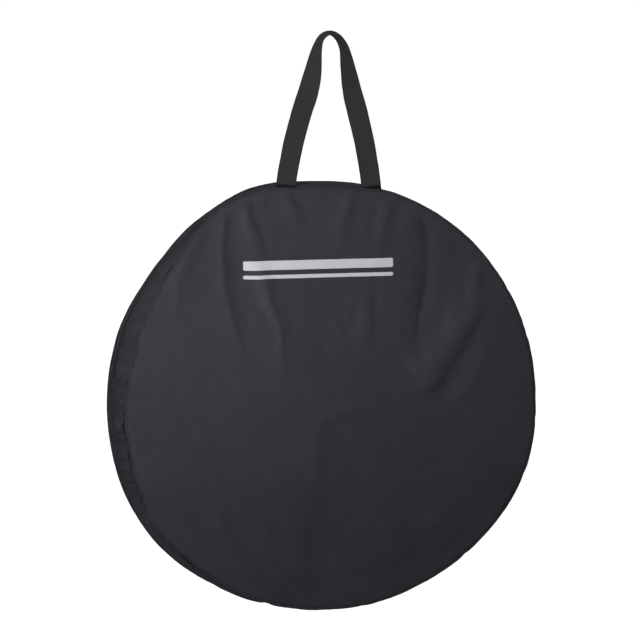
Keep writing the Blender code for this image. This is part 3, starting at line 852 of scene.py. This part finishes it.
def discMesh():
    # a square core and four sides that reach the rim, as unit-disc points with quads
    n, m, core = panelLook["side"], panelLook["out"], panelLook["core"]
    t = np.linspace(-1, 1, n + 1)

    def corePoint(a, b):
        bowed = np.stack((a * np.sqrt(1 - b * b / 2), b * np.sqrt(1 - a * a / 2)), -1)
        return core * (0.5 * np.stack((a, b), -1) + 0.5 * bowed)

    blocks = [corePoint(*np.meshgrid(t, t, indexing="ij"))]
    inner = corePoint(t, np.ones_like(t))
    outer = np.stack((np.sin(t * math.pi / 4), np.cos(t * math.pi / 4)), -1)
    share = (np.linspace(0, 1, m + 1) ** panelLook["crowding"])[:, None, None]
    x, z = np.moveaxis(inner * (1 - share) + outer * share, -1, 0)
    for c, s in ((1, 0), (0, 1), (-1, 0), (0, -1)):
        blocks.append(np.stack((x * c + z * s, z * c - x * s), -1))
    bm = bmesh.new()
    for block in blocks:
        rows, columns, _ = block.shape
        points = [bm.verts.new((x, 0, z)) for x, z in block.reshape(-1, 2)]
        for quad in gridFaces(rows, columns).tolist():
            bm.faces.new([points[k] for k in quad])
    bmesh.ops.remove_doubles(bm, verts=bm.verts, dist=1e-5)
    bmesh.ops.recalc_face_normals(bm, faces=bm.faces)
    bm.verts.index_update()
    flat = np.array([(v.co.x, v.co.z) for v in bm.verts])
    faces = [[v.index for v in f.verts] for f in bm.faces]
    bm.free()
    return flat, faces


def belly(share):
    return bag["crown"] * (1 - share ** bag["crownPower"])


def panelShape(share, angle, facts):
    # (x, z) from the bag's centre and the height in front of the seam, for points of the unit disc
    look, seed = panelLook, facts["panel"]
    radius = bag["panelRadius"] * share + facts["push"](angle) * share ** look["strayPower"]
    radius += look["overPiping"] * smoothStep(look["overFrom"], 1, share)
    x, z = radius * np.sin(angle), radius * np.cos(angle)
    seenX = -facts["out"] * x  # as it is seen from outside
    edge = (1 - share) * bag["panelRadius"]
    upper = smoothStep(*look["upper"], z)
    vary, cell = look["foldVary"]
    height = foldHeights(seenX, z, facts["folds"])
    height *= 1 - look["foldsHeld"] * smoothStep(look["foldsEnd"], 0, edge)
    height *= 1 + vary * patch(x, z, cell, seed + 6)
    for order, (low, more, uFrom, vFrom, cell, power) in enumerate(look["dents"]):
        u, v = (x * a + z * b for a, b in (uFrom, vFrom))
        height += mm * (low + more * upper) * patch(u, v, cell, seed + order) * (1 - share ** power)
    looser = (0.5 + 0.5 * smoothStep(0.0, 0.2, -seenX)) * (1 + 0.5 * upper)  # toward the upper left
    for order, (tall, reach, count, start) in enumerate(look["puckers"], 3):
        rise = ringRipple(angle, count, seed + order) * smoothStep(0, start, edge)
        height += mm * tall * looser * np.exp(-edge / reach) * rise
    height += belly(share) + look["rimRise"]
    height -= look["stitchDip"] * bell(edge - look["stitchIn"], look["stitchWide"])
    return x, z, height, edge


def paintedShadeOn(x, z):
    # painted shade: a faint darker patch on the front, and darker toward the bottom
    paintedShade = frontPaintedShade
    heights, lefts = zip(*paintedShade["edge"])
    stray, cell = paintedShade["stray"]
    past = x - mm * np.interp(z / mm, heights, lefts) - stray * patch(x, z, (cell, cell), 151)
    tone = paintedShade["far"] + (paintedShade["near"] - paintedShade["far"]) * bell(past, paintedShade["reach"])
    tone = tone * smoothStep(-paintedShade["blur"], paintedShade["blur"], past)
    tone = tone * smoothStep(*paintedShade["above"], z) * smoothStep(*paintedShade["right"], x)
    low = paintedShade["low"] * smoothStep(*paintedShade["bottom"], z)
    return np.maximum(tone, low) * (1 + paintedShade["vary"] * patch(x, z, (0.035, 0.03), 152))


def makePanel(name, side, cloth, *nodes):
    facts = sides[side]
    flat, faces = discMesh()
    share, angle = np.hypot(*flat.T), np.arctan2(*flat.T)
    x, z, height, edge = panelShape(share, angle, facts)
    relief = height - belly(share) - panelLook["rimRise"]
    wearAndShade = panelLook["ridgeWear"] * np.clip(relief / panelLook["ridge"], 0, 1) ** 1.5
    rubbed = 0.5 + 0.5 * ringRipple(angle, 140, facts["panel"] + 4)
    wearAndShade += panelLook["rimWear"] * bell(edge, panelLook["rim"]) * rubbed
    if side == "front":
        # painted shade on the front panel
        wearAndShade -= paintedShadeOn(x, z)
    points = np.stack((x, facts["face"] + facts["out"] * height, z + centreZ), -1)
    piece = finishMesh(name, points, faces, np.stack((x, z), -1), wearAndShade)
    low, span, vary = panelLook["slack"]
    slack = low + (1 - low) * smoothStep(*span, z)
    slack *= 1 - vary + vary * patch(x, z, (0.07, 0.12), facts["slack"])
    sag(piece, 1 - smoothStep(*panelLook["pinned"], edge), slack, panelSag)
    facts["skin"] = [v.co.copy() for v in piece.data.vertices]  # the bindings hang behind it
    turnToward(piece, lambda spot: Vector((0, facts["out"], 0)))
    dress(piece, cloth)
    thicken(piece, bag["wall"], lining)
    sew(piece, *nodes, folds=side == "back")
    return piece


frontPanel = makePanel("frontPanel", "front", panelCloth, "front_panel")
backPanel = makePanel("backPanel", "back", backCloth, "back_panel_lower", "back_flap_panel")
print("panels sewn:", len(frontPanel.data.vertices), len(backPanel.data.vertices), "points")

gusset = {
    "front": -1 * mm, "back": gussetHigh.y,
    "wall": 1.6 * mm,
    "lap": 9 * mm, "lapTurn": 4 * mm, "lapGap": 0.3 * mm,  # the flap's strip ends under the lower one
    "sink": 2.4 * mm, "sinkReach": 4.5 * mm,  # how the piping's seams draw it in
    "sinkLess": 0.4, "lessFrom": (100, 140),  # low down less
    "rimWear": 0.45, "swellWear": 0.25,
    "paintedShade": 0.30, "dipPaintedShade": 0.45, "lowPaintedShade": 0.9, "lowFrom": (75, 115),  # painted shade in and beside the front seam
    "paintedShadeIn": 2 * mm, "paintedShadeWide": 4 * mm, "paintedShadeWider": 2.5 * mm,
}


def gussetSheet(name, angles, depths, opened=None, tuck=0):
    # a sheet of the gusset's cloth, without the opened cells and drawn in by the tuck
    a, y = np.meshgrid(angles, depths, indexing="ij")
    inside = np.clip(y, 0, backSeamY)
    sunk = bell(inside, gusset["sinkReach"]) + bell(backSeamY - inside, gusset["sinkReach"])
    sunk = sunk * (1 - gusset["sinkLess"] * toBottom(a, gusset["lessFrom"]))
    swollen = swell(a, inside)
    grid = onBag(a, seamRadius + swollen - gusset["sink"] * sunk - tuck, y)
    rim = bell(np.minimum(y - gusset["front"], gusset["back"] - y), 2.5 * mm)
    wearAndShade = gusset["rimWear"] * rim * (0.5 + 0.5 * ringRipple(a, 160, 9))
    wearAndShade += gusset["swellWear"] * np.clip((swollen - puffs["high"]) / (3 * mm), 0, 1)
    # the stitching draws the cloth in, and painted shade darkens the dips beside the front seam
    dips, low = smoothStep(0.35, -0.5, gathers(a)), toBottom(a, gusset["lowFrom"])
    paintedShade = (gusset["paintedShade"] + gusset["dipPaintedShade"] * dips) * (1 + gusset["lowPaintedShade"] * low)
    wearAndShade -= paintedShade * bell(inside - gusset["paintedShadeIn"], gusset["paintedShadeWide"] + gusset["paintedShadeWider"] * low)
    lay = np.stack((a * seamRadius, y), -1)
    quads = gridFaces(*a.shape)
    if opened is not None:
        quads = quads[~opened.ravel()]
    used, faces = np.unique(quads, return_inverse=True)
    grid, lay, wearAndShade = grid.reshape(-1, 3)[used], lay.reshape(-1, 2)[used], wearAndShade.ravel()[used]
    piece = finishMesh(name, grid, faces.reshape(-1, 4).tolist(), lay, wearAndShade)
    turnToward(piece, fromAxis)
    dress(piece, gussetCloth)
    thicken(piece, gusset["wall"], lining)
    return piece


def halfway(values):
    return (values[:-1] + values[1:]) / 2


angles = angleSteps(-math.pi, -tailAngle, -foldAngle, foldAngle, tailAngle, math.pi)
stops = (gusset["front"], 12 * mm, bag["slotFrontY"], bag["slotBackY"], gusset["back"])
rows = zip(stops, stops[1:], (8, 20, 5, 10))
depths = np.unique(np.concatenate([np.linspace(a, b, count) for a, b, count in rows]))
turn, deep = np.abs(halfway(angles))[:, None], halfway(depths)[None]
inSlot = (turn < tailAngle) & (deep > bag["slotFrontY"]) & (deep < bag["slotBackY"])
onFlap = (turn < foldAngle) & (deep > bag["slotBackY"])
gussetPiece = gussetSheet("gussetCloth", angles, depths, inSlot | onFlap)
sew(gussetPiece, "gusset_lower", "gusset_front_strip")
lapAngle = foldAngle + gusset["lap"] / seamRadius
angles = angleSteps(-lapAngle, -foldAngle, foldAngle, lapAngle)
depths = np.linspace(bag["slotBackY"], gusset["back"], 12)
tuck = smoothStep(foldAngle - gusset["lapTurn"] / seamRadius, foldAngle, np.abs(angles))[:, None]
rearStrip = gussetSheet("flapGusset", angles, depths, tuck=tuck * (bag["wall"] + gusset["lapGap"]))
sew(rearStrip, "back_flap_gusset", folds=True)
print("gusset sewn:", len(gussetPiece.data.vertices), "points")

piping = {
    "cadRadius": 2.5 * mm, "radius": 2.6 * mm, "points": 14,
    "ring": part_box("front_piping")[1].x - 2.5 * mm,
    "ribs": ((0.07, 420), (0.06, 90)),  # uneven thickness: share, how many round the ring
    "drift": {"front": 0.5 * mm, "back": 0.25 * mm}, "sway": 0.4 * mm,
    "wearAndShade": 0.3,
}
binding = {
    "width": 12 * mm, "thick": 1.6 * mm, "points": 16, "roundX": 0.4, "roundY": 0.7,
    "lean": ((1.1 * mm, 110), (1.0 * mm, 40)),  # how its free edge waves
    "follow": 0.94, "inset": 1.5 * mm,  # how closely it follows the seam's outline
    "gap": 0.4 * mm, "least": 0.9 * mm,
}


def ringAndTurn(step, points):
    # angles round the bag and round the section of what lies there
    angles = angleSteps(-math.pi, math.pi, step=step)[:-1]
    return np.meshgrid(angles, np.arange(points) * math.tau / points, indexing="ij")


def makePiping(name, side, *nodes):
    # the cord's cover gathers in small uneven ribs
    facts = sides[side]
    out, seed, ring, radius = facts["out"], facts["cord"], piping["ring"], piping["radius"]
    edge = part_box(nodes[0])[side == "back"].y - out * piping["cadRadius"]
    a, t = ringAndTurn(0.5, piping["points"])
    ribs = [share * ringRipple(a, count, seed + k) for k, (share, count) in enumerate(piping["ribs"])]
    thick = radius * (1 + sum(ribs))
    far = ring + facts["push"](a) + thick * np.cos(t) + piping["drift"][side] * ringRipple(a, 70, seed + 2)
    y = edge + thick * np.sin(t) + piping["sway"] * ringRipple(a, 60, seed + 3)
    crest = np.clip(0.6 * (np.sin(t) * out + np.cos(t)), 0, 1)
    wearAndShade = piping["wearAndShade"] * crest ** 2 * (0.45 + 0.55 * ringRipple(a, 200, seed + 4))
    piece = tubeMesh(name, place(a, far, y), np.stack((a * ring, t * radius), -1), wearAndShade, True)
    dress(piece, pipingCloth)
    sew(piece, *nodes, folds=side == "back")


def makeBinding(name, side, *nodes):
    # folded tape over the raw seam edges, a little wavy, behind the panel as that has settled
    facts = sides[side]
    out, seed = facts["out"], facts["tape"]
    low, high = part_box(nodes[0])
    width, thick = binding["width"], binding["thick"]
    middle = high.x - width / 2
    a, t = ringAndTurn(0.8, binding["points"])
    squareX, squareY = (
        np.sign(wave) * np.abs(wave) ** power
        for wave, power in ((np.cos(t), binding["roundX"]), (np.sin(t), binding["roundY"]))
    )
    lean = sum(size * ringRipple(a, count, seed + k) for k, (size, count) in enumerate(binding["lean"]))
    radius = middle + squareX * width / 2 + facts["push"](a) * binding["follow"] - binding["inset"]
    tree = kdtree.KDTree(len(facts["skin"]))
    for index, (x, _, z) in enumerate(facts["skin"]):
        tree.insert((x, 0, z), index)
    tree.balance()
    spots = place(a, radius, 0 * a).reshape(-1, 3).tolist()
    skin = [max(-out * facts["skin"][near[1]].y for near in tree.find_n(spot, 5)) for spot in spots]
    deep = np.reshape(skin, a.shape) + bag["wall"] + binding["gap"] + thick / 2
    deep = np.maximum(deep, -out * (low.y + high.y) / 2 + binding["least"])
    y = squareY * thick / 2 - out * (deep + np.abs(lean) * (1 - squareX) / 2)
    lay = np.stack((a * middle, squareX * width / 2), -1)
    piece = tubeMesh(name, place(a, radius, y), lay, closedRound=True)
    dress(piece, bindingTape)
    sew(piece, *nodes, folds=side == "back")


makePiping("frontPiping", "front", "front_piping")
makePiping("backPiping", "back", "back_piping_lower", "back_flap_piping")
makeBinding("frontBinding", "front", "front_seam_binding")
makeBinding("backBinding", "back", "back_seam_binding", "flap_seam_binding")
print("piping and bindings sewn")


def unit(vectors):
    return vectors / np.linalg.norm(vectors, axis=-1, keepdims=True)


def runAlong(points):
    # how far each point lies along a line of them
    return np.concatenate(((0,), np.cumsum(np.linalg.norm(np.diff(points, axis=0), axis=1))))


def pointsAt(places, run, points):
    return np.stack([np.interp(places, run, column) for column in points.T], -1)


zipper = {
    "tapeRadius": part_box("zipper_half_front")[1].z - centreZ - 1.6 * mm,
    "tapeThick": 0.8 * mm,
    "tapeIn": 0.6 * mm, "tapeOut": 14 * mm,  # from the middle line to the tape's two edges
    "bead": (0.6 * mm, 0.8 * mm, 0.8),  # how the tape thins at its inner edge
    "coilOffset": 1.9 * mm, "coilHalfWidth": 1.45 * mm, "coilHalfRise": 0.62 * mm,
    "wire": 0.27 * mm, "wireSink": 0.7, "wireSides": 5,
    "pitch": 1.5 * mm, "perTurn": 9,
}


def makeTape(name, side):
    angles = angleSteps(-tailAngle, -foldAngle, foldAngle, tailAngle, step=0.8)
    inner, outer, half = zipper["tapeIn"], zipper["tapeOut"], zipper["tapeThick"] / 2
    under, over, thin = zipper["bead"]
    section = np.array((
        (inner, -half * thin), (inner + under, -half), (outer, -half),
        (outer, half), (inner + over, half), (inner, half * thin),
    ))
    a, k = np.meshgrid(angles, np.arange(len(section)), indexing="ij")
    y = zipY + side * section[k, 0]
    grid = place(a, zipper["tapeRadius"] - half + section[k, 1], y)
    piece = tubeMesh(name, grid, np.stack((a * seamRadius, y), -1), sharp=40)
    return dress(piece, zipTape)


def makeCoil(name, side):
    # one nylon spiral, with half a turn between the two sides so that they mesh
    rise, wire, radius = zipper["coilHalfRise"], zipper["wire"], zipper["tapeRadius"]
    count = int(2 * tailAngle * radius / zipper["pitch"]) * zipper["perTurn"] + 1
    run = np.linspace(-tailAngle, tailAngle, count)
    spin = np.arange(count) * math.tau / zipper["perTurn"] + (0 if side > 0 else math.pi)
    y = zipY + side * (zipper["coilOffset"] - zipper["coilHalfWidth"] * np.cos(spin))
    centre = place(run, radius + rise + wire * zipper["wireSink"] + rise * np.sin(spin), y)
    tangent = unit(np.gradient(centre, axis=0))
    first = unit(np.cross(tangent, np.stack((np.cos(run), 0 * run, -np.sin(run)), -1)))
    second = np.cross(tangent, first)
    t = np.arange(zipper["wireSides"]) * math.tau / zipper["wireSides"]
    across = first[:, None] * np.cos(t)[:, None] + second[:, None] * np.sin(t)[:, None]
    lay = np.stack(np.meshgrid(run * seamRadius, t * wire, indexing="ij"), -1)
    piece = tubeMesh(name, centre[:, None] + wire * across, lay)
    return dress(piece, coil)


sew(makeTape("zipperTapeFront", -1), "zipper_half_front")
frontCoil = makeCoil("zipperCoilFront", -1)
sew(frontCoil)
sew(makeTape("zipperTapeFlap", 1), "zipper_half_flap", "zipper_tail_left", "zipper_tail_right", folds=True)
sew(makeCoil("zipperCoilFlap", 1), folds=True)
print("zipper laid:", len(frontCoil.data.vertices), "points in each coil")

stitch = {
    "length": 2.9 * mm, "pitch": 3.7 * mm, "thick": 0.30 * mm, "sides": 6,
    "uneven": 0.05, "stray": 0.10 * mm,
    "low": 0.8,  # its height as a share of its width
    "tip": 0.5,  # half its length, as a share of the whole
    # its rings: place, width, lift
    "rings": ((-0.42, 0.75, -0.3), (-0.22, 1, 0.35), (0.22, 1, 0.35), (0.42, 0.75, -0.3)),
}


def stitchFaces(sides, rings):
    # the faces of one stitch: a point, its rings and a point
    faces, last = [], 1 + rings * sides
    for k in range(sides):
        n = (k + 1) % sides
        faces.append((0, 1 + n, 1 + k))
        faces += [(a + k, a + n, a + sides + n, a + sides + k) for a in range(1, last - sides, sides)]
        faces.append((last - sides + k, last - sides + n, last))
    return faces


def stitchRow(name, line):
    # evenly spaced thread stitches laid along a line of points on the gusset
    run = runAlong(line)
    count = int(run[-1] / stitch["pitch"])
    middles = (np.arange(count) + 0.5) * run[-1] / count
    rng = np.random.default_rng(count)
    ends = []
    for shift in (-0.5, 0.5):
        at = middles + shift * stitch["length"] * (1 + stitch["uneven"] * rng.uniform(-1, 1, count))
        ends.append(pointsAt(at, run, line) + stitch["stray"] * rng.uniform(-1, 1, (count, 3)))
    centre, whole = (ends[0] + ends[1]) / 2, ends[1] - ends[0]
    across = unit(np.cross(unit(whole), unit((centre - (0, 0, centreZ)) * (1, 0, 1))))
    out = np.cross(across, unit(whole)) * stitch["thick"]
    across = across * stitch["thick"]
    points = [centre - stitch["tip"] * whole - out * stitch["low"]]
    for at, thick, lift in stitch["rings"]:
        for angle in np.arange(stitch["sides"]) * math.tau / stitch["sides"]:
            rise = thick * math.sin(angle) * stitch["low"] + lift
            points.append(centre + at * whole + across * thick * math.cos(angle) + out * rise)
    points.append(centre + stitch["tip"] * whole - out * stitch["low"])
    size = len(points)
    shape = stitchFaces(stitch["sides"], len(stitch["rings"]))
    faces = [[start + k for k in face] for start in range(0, count * size, size) for face in shape]
    lengthwise = np.array([0, *np.repeat((0.1, 0.3, 0.7, 0.9), stitch["sides"]), 1]) * stitch["length"]
    lay = np.stack((np.tile(lengthwise, count), np.tile(np.arange(size) * 0.1 * mm, count)), -1)
    row = turnOut(finishMesh(name, np.stack(points, 1), faces, lay))
    return dress(row, thread)


tabs = {
    "rows": 26, "columns": 34,
    "rise": 1.3 * mm, "wall": 0.9 * mm, "corner": 3.2 * mm, "lift": 0.25 * mm,
    "rimWide": 0.9 * mm,
    "hollow": 0.25, "hollowFrom": (3 * mm, 6 * mm),  # its middle is thinner than its turned-under rim
    "stitchIn": 2.2 * mm, "stitchDip": 0.45 * mm, "stitchWide": 0.8 * mm, "threadSink": 0.1 * mm,
    "ripple": 0.25 * mm, "rippleCell": (0.006, 0.007), "rippleIn": 1 * mm,
}


def makeTab(word, side):
    node = "zipper_end_tab_" + word
    low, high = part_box(node)
    top, bottom = (math.acos((z - centreZ) / seamRadius) for z in (high.z, low.z))
    halfLong, halfWide, corner = (bottom - top) / 2 * seamRadius, (high.y - low.y) / 2, tabs["corner"]

    def onTab(along, across, rise):
        # a point of the gusset's skin, from the tab's middle
        angle, y = side * ((top + bottom) / 2 + along / seamRadius), zipY + across
        return onBag(angle, seamRadius + swell(angle, y) + rise, y)

    s, t = np.meshgrid(np.linspace(-1, 1, tabs["rows"]), np.linspace(-1, 1, tabs["columns"]), indexing="ij")
    pinch = np.clip(1 - (1 - np.abs(s)) * halfLong / corner, 0, 1)
    along, across = s * halfLong, t * (halfWide - corner * (1 - np.sqrt(1 - pinch ** 2)))
    edge = np.minimum(halfLong - np.abs(along), halfWide - np.abs(across))
    rise = tabs["rise"] * np.clip(edge / tabs["rimWide"], 0, 1) ** 0.5
    rise = rise * (1 - tabs["hollow"] * smoothStep(*tabs["hollowFrom"], edge)) + tabs["lift"]
    rise -= tabs["stitchDip"] * bell(edge - tabs["stitchIn"], tabs["stitchWide"])
    rise += tabs["ripple"] * patch(along, across, tabs["rippleCell"], 91 + side) * (edge > tabs["rippleIn"])
    piece = finishMesh(
        "zipperTab_" + word, onTab(along, across, rise), gridFaces(*s.shape).tolist(),
        np.stack((along, across), -1), 0.5 * bell(edge, 1.2 * mm),
    )
    turnToward(piece, fromAxis)
    dress(piece, tabCloth)
    thicken(piece, tabs["wall"])
    sew(piece, node)
    a, b = halfLong - tabs["stitchIn"], halfWide - tabs["stitchIn"]
    corners = np.array(((-a, -b), (-a, b), (a, b), (a, -b), (-a, -b)))
    rim = []
    for start, end in zip(corners, corners[1:]):
        steps = int(math.dist(start, end) / mm)
        rim.extend(start + (end - start) * k / steps for k in range(steps))
    along, across = np.array([*rim, rim[0]]).T
    sew(stitchRow("tabStitches_" + word, onTab(along, across, tabs["rise"] - tabs["threadSink"])))


makeTab("left", -1)
makeTab("right", 1)

seams = {"in": 2.4 * mm, "apart": 5 * mm, "rise": 0.15 * mm}  # from the slot's edge, and over the cloth
beside, behind = bag["slotFrontY"] - seams["in"], bag["slotBackY"] + seams["in"]
for name, start, end, y in (
    ("zipperStitchesFront", -tailAngle, tailAngle, beside),
    ("zipperStitchesFrontOuter", -tailAngle, tailAngle, beside - seams["apart"]),
    ("zipperStitchesFlap", -foldAngle, foldAngle, behind),
    ("zipperStitchesTailLeft", -tailAngle, -foldAngle, behind),
    ("zipperStitchesTailRight", foldAngle, tailAngle, behind),
):
    a = angleSteps(start, end, step=0.2)
    row = stitchRow(name, onBag(a, seamRadius + swell(a, y) + seams["rise"], y + 0 * a))
    sew(row, folds=name == "zipperStitchesFlap")
print("stitches laid")

handle = {
    # shares of half the foot spacing and of the handle's height, from the top down one leg
    "leg": (
        (0, 0), (0.075, 0.006), (0.16, 0.0225), (0.24, 0.048), (0.33, 0.0997), (0.385, 0.17),
        (0.43, 0.245), (0.478, 0.32), (0.54, 0.4), (0.615, 0.475), (0.69, 0.555), (0.765, 0.635),
        (0.83, 0.71), (0.885, 0.79), (0.945, 0.88), (1, 1),
    ),
    "halfFoot": 80 * mm, "rise": 291 * mm, "topZ": -2.0 * mm, "width": 38 * mm, "thick": 2.2 * mm,
    "twistLength": 158 * mm, "twistPower": 1.15, "tail": 16 * mm,
    "topTurn": math.radians(-15), "topLean": math.radians(10), "leftFootOut": 4.5 * mm, "leftIn": 3.6 * mm,
    "hingeZ": -0.278856,  # where its legs leave the front seam
    "hinge": (-2 * mm, 22 * mm),  # the zone below and above that
    "legSteps": 12, "points": 176, "tailSteps": 8, "edgePoints": 21,
    "leftInFrom": (0.03, 0.14), "leftInTo": (0.55, 0.22), "leftFootFrom": (0.3, 0.95),
    "turnFrom": (0, 0.85), "leanFrom": (0.05, 0.4),
    "roundFrom": 0.955,  # where its edges start to round off
    "cup": 0.7 * mm, "cupReach": 120 * mm,
    "wave": 0.35 * mm, "waveCell": (0.022, 0.03), "uneven": 0.006,
    "edgeWear": 0.5, "topWear": 0.35, "topReach": 40 * mm,
    # painted shade on each foot where it goes into the seam
    "footShade": 1.1, "footShadeFrom": (16 * mm, 8 * mm), "rightFootShade": 5.5 * mm,
}


def turned(vectors, angles, first, second):
    # vectors turned by an angle each, from one axis toward another
    made, c, s = vectors.copy(), np.cos(angles), np.sin(angles)
    made[:, first] = vectors[:, first] * c - vectors[:, second] * s
    made[:, second] = vectors[:, first] * s + vectors[:, second] * c
    return made


def mirrored(vectors):
    return np.vstack((vectors[:0:-1] * (-1, 1, 1), vectors))


def handleLeg():
    # the middle line of one leg from the top down, evenly spaced, how far along it each point is, and the
    # ways across the tape and out of its face
    leg = curveThrough([(-handle["leg"][1][0], handle["leg"][1][1]), *handle["leg"]], handle["legSteps"])
    share, drop = leg[leg[:, 0] >= -1e-9].T
    z = handle["topZ"] - drop * (handle["rise"] + handle["topZ"])
    path = np.stack((share * handle["halfFoot"], 0 * share, z), -1)
    tail = np.arange(1, handle["tailSteps"] + 1)[:, None] / handle["tailSteps"] * handle["tail"]
    path = np.vstack((path, path[-1] + unit(path[-1] - path[-2]) * tail))
    run = runAlong(path)
    even = np.linspace(0, run[-1], handle["points"])
    path = pointsAt(even, run, path)
    for _ in range(3):
        path[1:-1] = (path[:-2] + 2 * path[1:-1] + path[2:]) / 4
    tangent = np.gradient(path, axis=0)
    tangent[0] = (1, 0, 0)
    tangent = unit(tangent)
    twist = math.pi / 2 * np.clip(1 - even / handle["twistLength"], 0, 1) ** handle["twistPower"]
    across = np.stack((-tangent[:, 2] * np.cos(twist), np.sin(twist), tangent[:, 0] * np.cos(twist)), -1)
    return path, even, across, np.cross(tangent, across)


def makeHandle():
    path, run, across, face = handleLeg()
    # the other leg is the same one mirrored, with its foot sewn a little further out
    path, across, face = mirrored(path), mirrored(across), mirrored(face)
    along = np.concatenate((-run[:0:-1], run))
    share = np.abs(along) / run[-1]
    left = along < 0
    path[:, 0] -= left * handle["leftFootOut"] * smoothStep(*handle["leftFootFrom"], share)
    drawn = smoothStep(*handle["leftInFrom"], share) * smoothStep(*handle["leftInTo"], share)
    path[:, 0] += left * handle["leftIn"] * drawn
    # the loop is turned a little about its hook, and its top leans forward so that its outer face just shows
    turn = handle["topTurn"] * (1 - smoothStep(*handle["turnFrom"], share))
    lean = handle["topLean"] * (1 - smoothStep(*handle["leanFrom"], share))
    path, across, face = (turned(vectors, turn, 0, 1) for vectors in (path, across, face))
    across, face = (turned(vectors, lean, 1, 2) for vectors in (across, face))
    # a flat tape with round edges, a touch hollow across its width
    half, count = handle["width"] / 2, handle["edgePoints"]
    spots = np.linspace(-1, 1, count)
    spots = np.concatenate((spots, spots[-2:0:-1]))
    upper = np.where(np.arange(len(spots)) < count, 1, -1)
    s, w = np.meshgrid(along, spots, indexing="ij")
    past = np.clip((np.abs(w) - handle["roundFrom"]) / (1 - handle["roundFrom"]), 0, 1)
    thick = upper * handle["thick"] / 2 * np.sqrt(1 - past ** 2)
    cup = handle["cup"] * np.clip(1 - np.abs(s) / handle["cupReach"], 0, 1) * w ** 2
    wave = handle["wave"] * patch(s, w * half, handle["waveCell"], 121)
    wide = w * half * (1 + handle["uneven"] * ringRipple(s / 0.7 * math.tau, 60, 122))
    grid = path[:, None] + across[:, None] * wide[..., None] + face[:, None] * (thick - cup + wave)[..., None]
    wearAndShade = handle["edgeWear"] * np.clip((np.abs(w) - 0.93) / 0.07, 0, 1)
    wearAndShade *= 0.6 + 0.4 * patch(s, w, (0.012, 0.5), 123)
    # painted shade near each foot, where it goes into the seam
    toSeam = run[-1] - handle["tail"] - np.abs(s) + np.where(s > 0, handle["rightFootShade"], 0)
    wearAndShade -= handle["footShade"] * smoothStep(*handle["footShadeFrom"], toSeam)
    spots = 0.5 + 0.5 * patch(s, w * half, (0.01, 0.008), 124)
    wearAndShade += handle["topWear"] * bell(s, handle["topReach"]) * spots
    piece = tubeMesh("handleStrap", grid, np.stack((w * half, s), -1), wearAndShade, sharp=60)
    return dress(piece, webbing)


handleStrap = makeHandle()
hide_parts("handle_strap", "handle_root_left", "handle_root_right")
start, end = ((0, 0, handle["hingeZ"] + off) for off in handle["hinge"])
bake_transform(handleStrap)
print("handle made")

for node in ("slider_body", "pull_tab"):  # these two keep their solids
    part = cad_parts[node]
    part.data.materials.clear()
    part.data.materials.append(metal)

studio = {
    "distance": 5.8, "pixel": 1.872 * mm, "azimuth": -15.0, "elevation": 6.5,
    "middle": Vector((0, 55 * mm, -0.679856)), "pixelOffset": (2.0, 75.5),
    "sensor": 36, "pixels": 640,
    "worldStrength": 0.15, "worldColour": (0.98, 0.99, 1, 1),
    "floorZ": -2.1, "floorSize": 30, "floorColour": (0.66, 0.66, 0.65, 1),
}
lamps = {
    # place, what it is aimed at, size, watts
    "key": ((-0.62, -1.05, -0.25), (-0.05, 0, -0.28), (0.5, 0.5), 14.8),
    "side": ((-2.1, -0.30, -1.62), (-0.3, 0.05, -0.75), (1.2, 1.2), 16),
    "fill": ((0.9, -0.14, 0.16), (0.05, 0, -0.1), (0.4, 0.4), 3.6),
    "right": ((2.3, 0.16, -0.75), (0.1, 0.05, -0.65), (0.9, 0.9), 16),
    "back": ((0.7, 2.1, 0.15), (0.05, 0.1, -0.6), (1.2, 1.2), 26),
    "top": ((-0.5, 0.6, 1.6), (0, 0.05, -0.4), (1.4, 1.2), 24),
}


def makeCamera():
    azimuth, elevation = math.radians(studio["azimuth"]), math.radians(studio["elevation"])
    flat = math.cos(elevation)
    back = Vector((math.sin(azimuth) * flat, -math.cos(azimuth) * flat, math.sin(elevation)))
    right = Vector((math.cos(azimuth), math.sin(azimuth), 0))
    up = back.cross(right)
    offX, offUp = (pixels * studio["pixel"] for pixels in studio["pixelOffset"])
    lens = bpy.data.cameras.new("camera")
    lens.sensor_width = studio["sensor"]
    lens.lens = studio["sensor"] * studio["distance"] / (studio["pixels"] * studio["pixel"])
    camera = addObject("camera", lens)
    camera.location = studio["middle"] + up * offUp - right * offX + back * studio["distance"]
    camera.rotation_euler = Matrix((right, up, back)).transposed().to_euler()
    bpy.context.scene.camera = camera


def makeLamp(name, place, aim, size, watts):
    lamp = bpy.data.lights.new(name, "AREA")
    lamp.shape, lamp.energy = "RECTANGLE", watts
    lamp.size, lamp.size_y = size
    made = addObject(name, lamp)
    made.location = place
    made.rotation_euler = (Vector(aim) - Vector(place)).to_track_quat("-Z", "Y").to_euler()


def makeWorld():
    world = bpy.data.worlds.new("studio")
    bpy.context.scene.world = world
    sky = Dye(world, "World Output")
    lit = sky.node("Background", {}, {"Color": studio["worldColour"], "Strength": studio["worldStrength"]})
    shown = sky.node("Background", {}, {"Color": (1, 1, 1, 1)})
    sky.shade(Surface=sky.node("MixShader", {}, {0: sky.seenRays(), 1: lit, 2: shown}))


def makeFloor():
    # well below the hanging bag, and lifted to white where the camera sees it
    bm = bmesh.new()
    bmesh.ops.create_grid(bm, x_segments=8, y_segments=8, size=studio["floorSize"])
    mesh = bpy.data.meshes.new("floor")
    bm.to_mesh(mesh)
    bm.free()
    floor = addObject("floor", mesh)
    floor.location.z = studio["floorZ"]
    dye = newDye("pale_floor", 0.1, Roughness=0.9, Base_Color=studio["floorColour"], Emission_Strength=1.0)
    mesh.materials.append(dye.shade(Emission_Color=dye.mix(dye.seenRays(), (0, 0, 0, 1), (1, 1, 1, 1))))


makeCamera()
for name, facts in lamps.items():
    makeLamp(name, *facts)
makeWorld()
makeFloor()
bpy.context.scene.view_settings.view_transform = "Standard"
print("studio ready")
